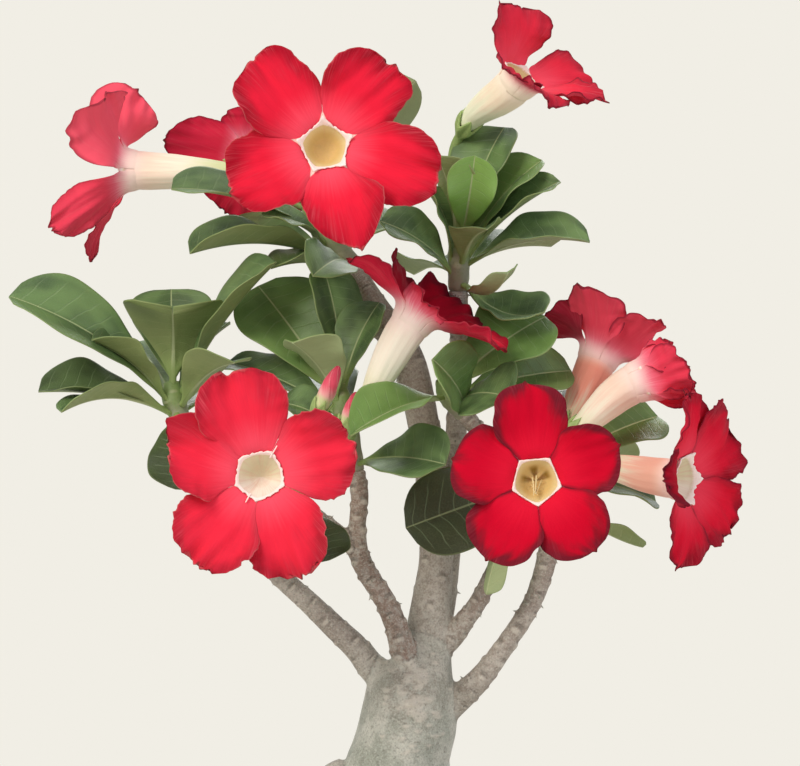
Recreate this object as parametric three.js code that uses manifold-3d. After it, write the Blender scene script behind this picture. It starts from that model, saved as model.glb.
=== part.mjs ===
// A desert rose, Adenium, in a round clay pot: swollen trunk, seven leafy shoots and ten flowers.
// Millimetres, +Z up. The origin is the centre of the pot's underside, on the surface it stands on.

import * as THREE from "three";
import { mergeVertices } from "three/addons/utils/BufferGeometryUtils.js";
import Module from "manifold-3d";

const wasm = await Module();
wasm.setup();

// Sizes of the pot and its soil
const POT_HEIGHT = 92;
const POT_SEGMENTS = 28;
const POT_RIM_RADIUS = 75;
const DRAIN_RADIUS = 4;
const DRAIN_CIRCLE = 24;
const DRAIN_COUNT = 4;
const SOIL_BOTTOM = 6.4;
const SOIL_TOP = 80;
const SOIL_CLEARANCE = 0.4;
const SOIL_BUMP = 0.7;
const SOIL_RINGS = [56, 43, 30];

// The clearance that every two touching pieces keep, and what a seam may be smoothed by
const GAP = 0.3;
const JOIN_TOLERANCE = 0.06;

// Blades: a leaf's stalk starts at a depth below the skin of its stem
const LEAF_THICK = 0.8;
const PETIOLE_THICK = 1.8;
const PETIOLE_WIDE = 2.4;
const PETIOLE_ROOT = 1;
const PETAL_THICK = 0.8;
const PETALS_APART = 0.7;

// The mouth of a flower: its tube, the collar that carries the petals and the corona teeth
const TUBE_SIDES = 10;
const MOUTH_RADIUS = 7.4;
const MOUTH_WALL = 0.9;
const COLLAR_DEPTH = 1.8;
const CLAW_RADIUS = MOUTH_RADIUS + 1.2;

// Colours
const CLAY = 0xb5684a;
const SOIL = 0x4b3a2c;
const BARK = 0x9c9486;
const LEAF = 0x3f6b32;
const PETAL_RED = 0xd9142b;
const TUBE_CREAM = 0xe9dcb4;
const BUD_PINK = 0xd8536b;

const vec = (list) => new THREE.Vector3(list[0], list[1], list[2]);
const unit = (list) => vec(list).normalize();
const degrees = THREE.MathUtils.degToRad;

function smooth(low, high, value) {
  return THREE.MathUtils.smoothstep(value, low, high);
}

// Solids

function solidFrom(points, triangles) {
  const vertProperties = new Float32Array(points.length * 3);
  points.forEach((point, index) => point.toArray(vertProperties, index * 3));
  const triVerts = new Uint32Array(triangles.flat());
  return new wasm.Manifold(new wasm.Mesh({ numProp: 3, vertProperties, triVerts }));
}

function solidFromGeometry(geometry) {
  geometry.deleteAttribute("normal");
  geometry.deleteAttribute("uv");
  const merged = mergeVertices(geometry, 1e-4);
  const vertProperties = new Float32Array(merged.attributes.position.array);
  const triVerts = new Uint32Array(merged.index.array);
  return new wasm.Manifold(new wasm.Mesh({ numProp: 3, vertProperties, triVerts }));
}

function geometryFrom(solid) {
  const mesh = solid.getMesh();
  const geometry = new THREE.BufferGeometry();
  geometry.setAttribute("position", new THREE.BufferAttribute(new Float32Array(mesh.vertProperties), 3));
  geometry.setIndex(new THREE.BufferAttribute(new Uint32Array(mesh.triVerts), 1));
  geometry.computeVertexNormals();
  return geometry;
}

function joined(solids) {
  return solids.reduce((whole, piece) => whole.add(piece)).asOriginal().simplify(JOIN_TOLERANCE);
}

// A sheet of even thickness round its middle surface: four-cornered cells over shared points,
// split into triangles alike on both faces, with a narrow wall along every free edge
function sheetFrom(points, cells, thickness) {
  const normals = points.map(() => new THREE.Vector3());
  const free = new Map();
  for (const cell of cells) {
    const long = new THREE.Vector3().subVectors(points[cell[2]], points[cell[0]]);
    const cross = new THREE.Vector3().subVectors(points[cell[3]], points[cell[1]]);
    const normal = long.cross(cross);
    cell.forEach((corner, k) => {
      const next = cell[(k + 1) % 4];
      normals[corner].add(normal);
      if (!free.delete(`${next} ${corner}`)) free.set(`${corner} ${next}`, [corner, next]);
    });
  }
  const face = (side) => points.map((point, i) => {
    return point.clone().addScaledVector(normals[i].normalize(), side * thickness[i]);
  });
  const behind = (i) => i + points.length;
  const triangles = [];
  for (const [a, b, c, d] of cells) {
    triangles.push([a, b, c], [a, c, d]);
    triangles.push([behind(a), behind(c), behind(b)], [behind(a), behind(d), behind(c)]);
  }
  for (const [from, to] of free.values()) {
    triangles.push([to, from, behind(from)], [to, behind(from), behind(to)]);
  }
  return solidFrom([...face(0.5), ...face(-0.5)], triangles);
}

function bladeFrom(rows, thickness) {
  const columns = rows[0].length;
  const cells = [];
  for (let i = 0; i + 1 < rows.length; i += 1) {
    for (let j = 0; j + 1 < columns; j += 1) {
      const corner = i * columns + j;
      cells.push([corner, corner + columns, corner + columns + 1, corner + 1]);
    }
  }
  return sheetFrom(rows.flat(), cells, rows.flatMap((row, i) => row.map(() => thickness[i])));
}

// A closed body through rings of points, each turning left round the way of travel
function loftFrom(rings) {
  const sides = rings[0].length;
  const points = rings.flat();
  const triangles = [];
  for (let i = 0; i + 1 < rings.length; i += 1) {
    for (let k = 0; k < sides; k += 1) {
      const here = i * sides + k;
      const next = i * sides + (k + 1) % sides;
      triangles.push([here, next, next + sides]);
      triangles.push([here, next + sides, here + sides]);
    }
  }
  const middle = (ring) => ring
    .reduce((sum, point) => sum.add(point), new THREE.Vector3())
    .divideScalar(sides);
  const last = (rings.length - 1) * sides;
  points.push(middle(rings[0]), middle(rings[rings.length - 1]));
  for (let k = 0; k < sides; k += 1) {
    const next = (k + 1) % sides;
    triangles.push([points.length - 2, next, k]);
    triangles.push([points.length - 1, last + k, last + next]);
  }
  return solidFrom(points, triangles);
}

function ringAt(centre, direction, radius, sides, start) {
  const axis = direction.clone().normalize();
  const first = start.clone().addScaledVector(axis, -start.dot(axis)).normalize();
  const second = new THREE.Vector3().crossVectors(axis, first);
  return Array.from({ length: sides }, (_, k) => {
    const angle = k / sides * Math.PI * 2;
    return centre.clone()
      .addScaledVector(first, Math.cos(angle) * radius)
      .addScaledVector(second, Math.sin(angle) * radius);
  });
}

function radiusAt(stations, t) {
  const place = t * (stations.length - 1);
  const low = Math.min(Math.floor(place), stations.length - 2);
  return THREE.MathUtils.lerp(stations[low][3], stations[low + 1][3], place - low);
}

// A round stalk through [x, y, z, radius] stations, whose ends are cut square to given directions
function stalkFrom(stations, sides, steps, firstWay, lastWay) {
  const curve = new THREE.CatmullRomCurve3(stations.map(vec));
  const rings = [];
  const start = Math.abs(curve.getTangent(0).x) < 0.8 ? vec([1, 0, 0]) : vec([0, 1, 0]);
  for (let i = 0; i <= steps; i += 1) {
    const t = i / steps;
    let way = curve.getTangent(t);
    if (i === 0 && firstWay) way = firstWay;
    if (i === steps && lastWay) way = lastWay;
    rings.push(ringAt(curve.getPoint(t), way, radiusAt(stations, t), sides, start));
  }
  return loftFrom(rings);
}

// Pot and soil

function potSolid() {
  const profile = [
    [0, 0], [54, 0], [56, 1.5], [68, 72], [73, 73.5], [POT_RIM_RADIUS, 90], [73.5, POT_HEIGHT],
    [69.5, POT_HEIGHT], [68, 90], [62.5, 72], [50, 8], [48, 6], [0, 6],
  ].map(([radius, height]) => new THREE.Vector2(radius, height));
  const lathe = new THREE.LatheGeometry(profile, POT_SEGMENTS);
  lathe.rotateX(Math.PI / 2);
  let pot = solidFromGeometry(lathe);
  for (let k = 0; k < DRAIN_COUNT; k += 1) {
    const angle = (k + 0.5) / DRAIN_COUNT * Math.PI * 2;
    const hole = new THREE.CylinderGeometry(DRAIN_RADIUS, DRAIN_RADIUS, 20, 10);
    hole.rotateX(Math.PI / 2);
    hole.translate(Math.cos(angle) * DRAIN_CIRCLE, Math.sin(angle) * DRAIN_CIRCLE, 3);
    pot = pot.subtract(solidFromGeometry(hole));
  }
  return pot;
}

// The pot's inner radius at a height between the floor and the shoulder
function innerRadius(height) {
  return THREE.MathUtils.mapLinear(height, 8, 72, 50, 62.5);
}

function soilSolid() {
  const rings = [];
  const outer = (height) => innerRadius(height) - SOIL_CLEARANCE / Math.cos(Math.PI / POT_SEGMENTS);
  const level = (radius, height) => Array.from({ length: POT_SEGMENTS }, (_, k) => {
    const angle = k / POT_SEGMENTS * Math.PI * 2;
    return new THREE.Vector3(Math.cos(angle) * radius, Math.sin(angle) * radius, height);
  });
  rings.push(level(46, SOIL_BOTTOM), level(outer(9), 9), level(outer(72), 72));
  rings.push(level(outer(77), SOIL_TOP - 2.5));
  for (const radius of SOIL_RINGS) {
    rings.push(level(radius, SOIL_TOP).map((point, k) => {
      point.z += SOIL_BUMP * Math.sin(k * 2.3 + radius);
      return point;
    }));
  }
  return loftFrom(rings).subtract(rootSolid(SOIL_CLEARANCE));
}

// Wood

// The swollen trunk from its foot in the soil up to the leader: [x, y, z, radius]
const TRUNK = [
  [0, 0, 38, 12], [0, 0, 48, 24], [0, 0, 64, 33], [0, 0, 78, 37], [0, 0, 88, 35.5],
  [0, 0, 100, 31], [-0.5, 0, 110, 27], [-1, 0, 120, 23.5], [-1.6, 0, 135, 18.7],
  [1.5, 0, 147, 17.4], [3, 0, 158, 16.2], [3.5, 0, 165, 14.6], [7, 0.5, 172, 10.8],
  [10, 1, 180, 7.8],
];
const TRUNK_SIDES = 14;
const TRUNK_LOBES = 0.035;
const TRUNK_FOLDS = 0.02;

function rootSolid(clearance) {
  const rings = TRUNK.map(([x, y, z, radius], i) => {
    const height = i === 0 ? z - clearance : z;
    return Array.from({ length: TRUNK_SIDES }, (_, k) => {
      const angle = k / TRUNK_SIDES * Math.PI * 2;
      const lobes = TRUNK_LOBES * Math.sin(3 * angle + z / 21);
      const folds = TRUNK_FOLDS * Math.sin(5 * angle - z / 13);
      const reach = radius * (1 + lobes + folds) + clearance;
      return new THREE.Vector3(x + Math.cos(angle) * reach, y + Math.sin(angle) * reach, height);
    });
  });
  return loftFrom(rings);
}

// Branches: [x, y, z, radius] stations from inside the trunk to the cut end below a green shoot
const BRANCHES = {
  left: [
    [-1, 0, 162, 6.5], [-9.8, 0, 169.5, 5], [-14.5, -1, 175.6, 4.5], [-22.8, -2, 183.6, 4.1],
    [-32.2, -3, 192.7, 3.7], [-39.2, -4, 199, 3.5], [-52.5, -3, 212.3, 3.4], [-64.8, 0, 229.8, 3.3],
    [-73.5, 3.5, 249, 3.2], [-76, 5, 254.3, 3.2],
  ],
  middle: [
    [5, -3, 160, 6], [4, -6, 168, 5.6], [1.4, -8, 175.6, 4.8], [-1, -9, 183.3, 4],
    [-4.2, -9.5, 191.3, 3.7], [-8.4, -10, 198.3, 3.5], [-12.3, -10.5, 204.6, 3.5],
    [-14.7, -11, 211.5, 3.4], [-14.7, -12, 221, 2.9], [-14, -12, 230, 3], [-15.4, -12, 238.6, 3],
  ],
  lower: [
    [-12.5, -10.7, 206.5, 3], [-15.5, -11, 211, 3], [-20, -12.5, 215.5, 2.9],
    [-25.5, -14.5, 220, 2.8], [-30.8, -16, 223.9, 2.8],
  ],
  top_left: [
    [9.5, 1, 176, 8.6], [11.2, 1.5, 193, 6.9], [12.6, 3, 207, 5.8], [12.3, 4, 221, 5.6],
    [11.2, 5, 235, 5.5], [7.8, 7, 257, 5.5], [3.5, 8, 275.3, 5.7], [-1, 9.5, 284, 5.7],
    [-8.4, 11, 294, 5.4], [-14, 12, 303.3, 4.7], [-16.8, 12, 309, 4.2],
  ],
  top_right: [
    [10, 3, 178, 5], [14, 7, 186, 4.4], [16.8, 9.5, 204.6, 4], [18.3, 9.5, 228, 3.8],
    [19.8, 7, 252.5, 3.6], [21, 4, 277, 3.4], [20.6, 2, 292.8, 3.3], [20.3, 0, 301.6, 3.2],
  ],
  upright: [
    [12, 0, 174, 4.6], [19.3, -1, 181.5, 3.9], [22.8, -3, 186.4, 3.4], [26.3, -4.5, 191, 3.1],
    [31.5, -6, 200.8, 2.9], [34.6, -6.5, 208, 2.9], [35.5, -6, 221, 2.9], [32.5, -6, 238.5, 2.9],
    [27, -8, 252.5, 2.9], [21.7, -10, 258.8, 2.8],
  ],
  right: [
    [11, 1, 151, 6], [19.6, 0, 158, 5], [24.5, -3, 162.3, 4.4], [28.7, -5, 166.8, 4],
    [36, -7, 176.6, 3.4], [44.1, -8, 188.9, 3.2], [47.3, -8, 195.2, 3.2], [50.8, -8, 206.4, 3.4],
    [52, -7, 216, 3.2], [51.8, -7, 229.8, 3.1],
  ],
  stub: [
    [-9, -1, 116, 9], [-16, -2, 124, 8], [-20, -2.5, 130, 7], [-23, -3, 134.5, 5], [-24, -3, 136.5, 2.5],
  ],
};
const BRANCH_SIDES = 7;

function endWay(stations) {
  const [last, before] = [stations[stations.length - 1], stations[stations.length - 2]];
  return vec(last).sub(vec(before)).normalize();
}

function woodSolid() {
  const branches = Object.values(BRANCHES).map((stations) => {
    const steps = stations.length - 1;
    return stalkFrom(stations, BRANCH_SIDES, steps, null, endWay(stations));
  });
  return joined([rootSolid(0), ...branches]);
}

// Leaves

const LEAF_STATIONS = [0, 0.3, 0.6, 0.87, 1];
const LEAF_TIP = 0.07;

// The width of an egg-shaped leaf, widest past its middle, as a share of its full width
function leafShape(t) {
  return t ** 1.35 * (1 - t) ** 0.5 / 0.3399;
}

// from: share of the shoot's length at the petiole. face: the way the upper side looks.
// bow: arch towards the face. fold: how far each half rises, in degrees.
function leafSolid(stem, stations, leaf) {
  const { from, tip, face, wide, bow = 3, fold = 22 } = leaf;
  const base = stem.getPoint(from);
  const away = vec(tip).sub(base);
  const upwards = stem.getTangent(from);
  const depth = radiusAt(stations, from) - PETIOLE_ROOT;
  base.addScaledVector(away.addScaledVector(upwards, -away.dot(upwards)).normalize(), depth);
  const along = vec(tip).sub(base);
  const length = along.length();
  along.normalize();
  const up = vec(face);
  up.addScaledVector(along, -up.dot(along)).normalize();
  const side = new THREE.Vector3().crossVectors(up, along);
  const rows = LEAF_STATIONS.map((t) => {
    const half = Math.max(wide / 2 * leafShape(t), t < 0.5 ? PETIOLE_WIDE / 2 : wide * LEAF_TIP);
    const arch = 4 * t * (1 - t);
    const centre = base.clone()
      .addScaledVector(along, length * t)
      .addScaledVector(up, bow * arch);
    const rise = degrees(fold) * smooth(0, 0.3, t);
    return [-1, 0, 1].map((u) => centre.clone()
      .addScaledVector(side, u * half * Math.cos(rise))
      .addScaledVector(up, Math.abs(u) * half * Math.sin(rise)));
  });
  const thickness = LEAF_STATIONS.map((t) => {
    return THREE.MathUtils.lerp(PETIOLE_THICK, LEAF_THICK, smooth(0, 0.4, t));
  });
  return bladeFrom(rows, thickness);
}

// Flowers

// The way round a flower's mouth: second points up the picture, first to the right of it
function mouthFrame(aim) {
  const second = vec([0, 0, 1]);
  second.addScaledVector(aim, -second.dot(aim)).normalize();
  const first = new THREE.Vector3().crossVectors(second, aim);
  return { first, second };
}

// A petal runs from its claw, v = 0, to its tip, v = 1, and across from u = -1 to u = 1.
// long, wide: its size. lift: its slope from the flower's face once it has left the claw.
// recurve: how far its outer part bends back. cup: depth across. twist: roll of the blade.
// wave: ripple of its edges. skew: where across the petal its point is.
const PETAL_STATIONS = [0.2, 0.45, 0.75, 1];
const PETAL_COLUMNS = [-1, -0.34, 0.34, 1];
const PETAL = { long: 29, wide: 28, lift: 14, recurve: 26, cup: 0.5, twist: 10, wave: 1.2, skew: 0.25 };
const CLAW_SLOPE = 78;
const CLAW_HALF = 5.3;
const PETAL_SETTLED = 0.34;
const PETAL_WIDEST = 0.6;
const PETAL_BLUNT = 0.9;
const PETAL_POINT = 0.09;
const MIDDLE_STEPS = 24;

function petalSlope(v, { lift, recurve }) {
  const settle = smooth(0, PETAL_SETTLED, v);
  const fall = recurve * Math.max(0, (v - PETAL_SETTLED) / (1 - PETAL_SETTLED)) ** 2;
  return degrees(THREE.MathUtils.lerp(CLAW_SLOPE, lift, settle) - fall);
}

// The height and reach of a petal's middle line, rising from the claw and then bending outwards
function petalMiddle(v, petal) {
  const step = petal.long * v / MIDDLE_STEPS;
  let reach = 0;
  let height = 0;
  for (let i = 0; i < MIDDLE_STEPS; i += 1) {
    const slope = petalSlope((i + 0.5) / MIDDLE_STEPS * v, petal);
    reach += Math.cos(slope) * step;
    height += Math.sin(slope) * step;
  }
  return { reach, height, slope: petalSlope(v, petal) };
}

function petalHalfWidth(v, wide) {
  if (v < PETAL_WIDEST) {
    const share = (smooth(0, PETAL_WIDEST, v) + v / PETAL_WIDEST) / 2;
    return THREE.MathUtils.lerp(CLAW_HALF, wide / 2, share);
  }
  const beyond = (v - PETAL_WIDEST) / (1 - PETAL_WIDEST);
  return wide / 2 * Math.sqrt(1 - (beyond * PETAL_BLUNT) ** 2);
}

// How far sideways a petal's point may lie at a reach from the flower's axis before it would
// come too near the plane halfway to the neighbouring petal
function petalRoom(reach, halfway) {
  const edge = degrees(Math.min(halfway, 70));
  return Math.max(0, (reach * Math.sin(edge) - PETALS_APART) / Math.cos(edge));
}

function petalPoint(flower, petal, u, v) {
  const { long, wide, cup, twist, wave, skew, angle, before, after } = petal;
  const { aim, first, second, throat } = flower;
  const turn = degrees(angle);
  const radial = first.clone().multiplyScalar(Math.cos(turn)).addScaledVector(second, Math.sin(turn));
  const sideways = new THREE.Vector3().crossVectors(aim, radial);
  const { reach, height, slope } = petalMiddle(v, petal);
  const tangent = radial.clone().multiplyScalar(Math.cos(slope)).addScaledVector(aim, Math.sin(slope));
  const normal = radial.clone().multiplyScalar(-Math.sin(slope)).addScaledVector(aim, Math.cos(slope));
  const half = petalHalfWidth(v, wide);
  const across = u * half;
  const bend = (1 - smooth(0.05, 0.4, v)) / CLAW_RADIUS;
  const lateral = bend > 1e-4 ? Math.sin(across * bend) / bend : across;
  const inward = bend > 1e-4 ? (1 - Math.cos(across * bend)) / bend : 0;
  const ripple = wave * Math.sin(v * 9 + angle) * u * Math.abs(u) * smooth(0.3, 0.8, v);
  const curl = inward + cup * across * across / wide * smooth(0.2, 0.7, v) + ripple;
  const roll = degrees(twist) * smooth(0.1, 0.7, v);
  const point = long * PETAL_POINT * smooth(0.8, 1, v) * (1 - Math.abs(u - skew));
  const out = new THREE.Vector3()
    .addScaledVector(radial, CLAW_RADIUS + reach)
    .addScaledVector(aim, height)
    .addScaledVector(sideways, lateral * Math.cos(roll) - curl * Math.sin(roll))
    .addScaledVector(normal, lateral * Math.sin(roll) + curl * Math.cos(roll))
    .addScaledVector(tangent, point);
  const apart = out.dot(radial);
  const aside = out.dot(sideways);
  const held = THREE.MathUtils.clamp(aside, -petalRoom(apart, before), petalRoom(apart, after));
  return out.addScaledVector(sideways, held - aside).add(throat);
}

function collarPoint({ throat, aim, first, second }, angle, height) {
  return throat.clone()
    .addScaledVector(aim, height)
    .addScaledVector(first, Math.cos(degrees(angle)) * CLAW_RADIUS)
    .addScaledVector(second, Math.sin(degrees(angle)) * CLAW_RADIUS);
}

// The five petals and the collar round the tube's mouth that they grow from, as one sheet:
// neighbouring petals share a corner on the collar. The petals are listed round to the left.
function limbSolid(flower) {
  const count = flower.petals.length;
  const halfway = (from, to) => {
    const gap = flower.petals[to % count].angle - flower.petals[from % count].angle;
    return THREE.MathUtils.euclideanModulo(gap, 360) / 2;
  };
  const petals = flower.petals.map((petal, k) => {
    return { ...PETAL, ...petal, before: halfway(k + count - 1, k), after: halfway(k, k + 1) };
  });
  const columns = PETAL_COLUMNS.length - 1;
  const sides = count * columns;
  const points = [];
  const cells = [];
  const claws = petals.flatMap(({ angle, before, after }) => Array.from({ length: columns }, (_, j) => {
    return angle + THREE.MathUtils.lerp(-before, after, j / columns);
  }));
  for (const height of [-COLLAR_DEPTH, 0]) {
    for (const angle of claws) points.push(collarPoint(flower, angle, height));
  }
  for (let k = 0; k < sides; k += 1) {
    const next = (k + 1) % sides;
    cells.push([k, k + sides, next + sides, next]);
  }
  petals.forEach((petal, k) => {
    let below = PETAL_COLUMNS.map((_, j) => sides + (k * columns + j) % sides);
    for (const v of PETAL_STATIONS) {
      const row = PETAL_COLUMNS.map((u) => points.push(petalPoint(flower, petal, u, v)) - 1);
      for (let j = 0; j < columns; j += 1) cells.push([below[j], row[j], row[j + 1], below[j + 1]]);
      below = row;
    }
  });
  return sheetFrom(points, cells, points.map(() => PETAL_THICK));
}

function tubeCurve({ foot, footWay, throat, aim }) {
  const reach = foot.distanceTo(throat) * 0.36;
  return new THREE.CubicBezierCurve3(
    foot,
    foot.clone().addScaledVector(footWay, reach),
    throat.clone().addScaledVector(aim, -reach),
    throat,
  );
}

// Outside of the tube from foot to mouth, the corona's teeth and the notches between them,
// then the bore inside it, and the cone of anthers that stands in the bore
const TUBE_OUTSIDE = [[0, 2.7], [0.1, 3.3], [0.32, 4.2], [0.62, 5.8], [0.85, 6.6], [1, MOUTH_RADIUS]];
const CORONA = { tooth: [-3.2, 6.4], notch: [-0.2, 6.9] };
const TUBE_BORE = [[0.6, MOUTH_RADIUS - MOUTH_WALL], [5, 5.4], [13, 3.9]];
const ANTHERS = [[13, 2.2], [4, 1.5], [2.5, 0.5]];

// Every second point of one ring, with those between from another
function zigzag(peaks, valleys) {
  return peaks.map((point, k) => (k % 2 ? valleys[k] : point));
}

function tubeSolid(flower) {
  const curve = tubeCurve(flower);
  const length = curve.getLength();
  const level = ([share, radius]) => {
    let way = curve.getTangent(Math.min(share, 1));
    if (share === 0) way = flower.footWay;
    if (share >= 1) way = flower.aim;
    const centre = curve.getPoint(Math.min(share, 1));
    if (share > 1) centre.addScaledVector(flower.aim, (share - 1) * length);
    return ringAt(centre, way, radius, TUBE_SIDES, flower.second);
  };
  const deep = ([depth, radius]) => level([1 - depth / length, radius]);
  return loftFrom([
    ...TUBE_OUTSIDE.map(level),
    zigzag(deep(CORONA.tooth), deep(CORONA.notch)),
    ...TUBE_BORE.map(deep),
    ...ANTHERS.map(deep),
  ]);
}

// The green flower stalk from the shoot, with the five-toothed calyx that holds the tube's foot.
// Each row: height along the tube from its foot, and radius
const STALK_RADIUS = 1.8;
const CALYX_BASE = -4.5;
const CALYX_FLARE = [-1.8, 3.3];
const CALYX_TOOTH = { outside: [6, 5.4], inside: [5.7, 4.7] };
const CALYX_NOTCH = { outside: [0.9, 4.2], inside: [0.8, 3.5] };
const CALYX_SEAT = [-GAP, 3];

function calyxSolid(flower, root) {
  const { foot, footWay, second, calyx = 1 } = flower;
  const level = ([height, radius]) => ringAt(
    foot.clone().addScaledVector(footWay, height * calyx), footWay, radius * calyx, TUBE_SIDES, second);
  const end = foot.clone().addScaledVector(footWay, CALYX_BASE);
  const reach = root.distanceTo(end) * 0.45;
  const bend = new THREE.QuadraticBezierCurve3(root, end.clone().addScaledVector(footWay, -reach), end);
  const rings = [0, 0.5, 1].map((t) => {
    return ringAt(bend.getPoint(t), bend.getTangent(t), STALK_RADIUS, TUBE_SIDES, second);
  });
  return loftFrom([
    ...rings,
    level(CALYX_FLARE),
    zigzag(level(CALYX_TOOTH.outside), level(CALYX_NOTCH.outside)),
    zigzag(level(CALYX_TOOTH.inside), level(CALYX_NOTCH.inside)),
    level(CALYX_SEAT),
  ]);
}

// A closed bud: a pointed spindle of rolled petals, with its spiral ridges
const BUD_OUTSIDE = [[0, 2.4], [0.12, 3.1], [0.4, 3.9], [0.62, 3.6], [0.85, 2.1], [1, 0.4]];
const BUD_SIDES = 10;
const BUD_TURN = 1.6;
const BUD_GROOVE = 0.84;

function budSolid(flower) {
  const { foot, throat, aim, first } = flower;
  const second = new THREE.Vector3().crossVectors(aim, first);
  const { size } = flower;
  return loftFrom(BUD_OUTSIDE.map(([share, radius]) => Array.from({ length: BUD_SIDES }, (_, k) => {
    const angle = k / BUD_SIDES * Math.PI * 2 + share * BUD_TURN;
    const reach = size * radius * (k % 2 ? 1 : BUD_GROOVE);
    return foot.clone().lerp(throat, share)
      .addScaledVector(first, Math.cos(angle) * reach)
      .addScaledVector(second, Math.sin(angle) * reach);
  })));
}

// The shoots. Each stem goes on from the cut end of the branch of the same name.

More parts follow.
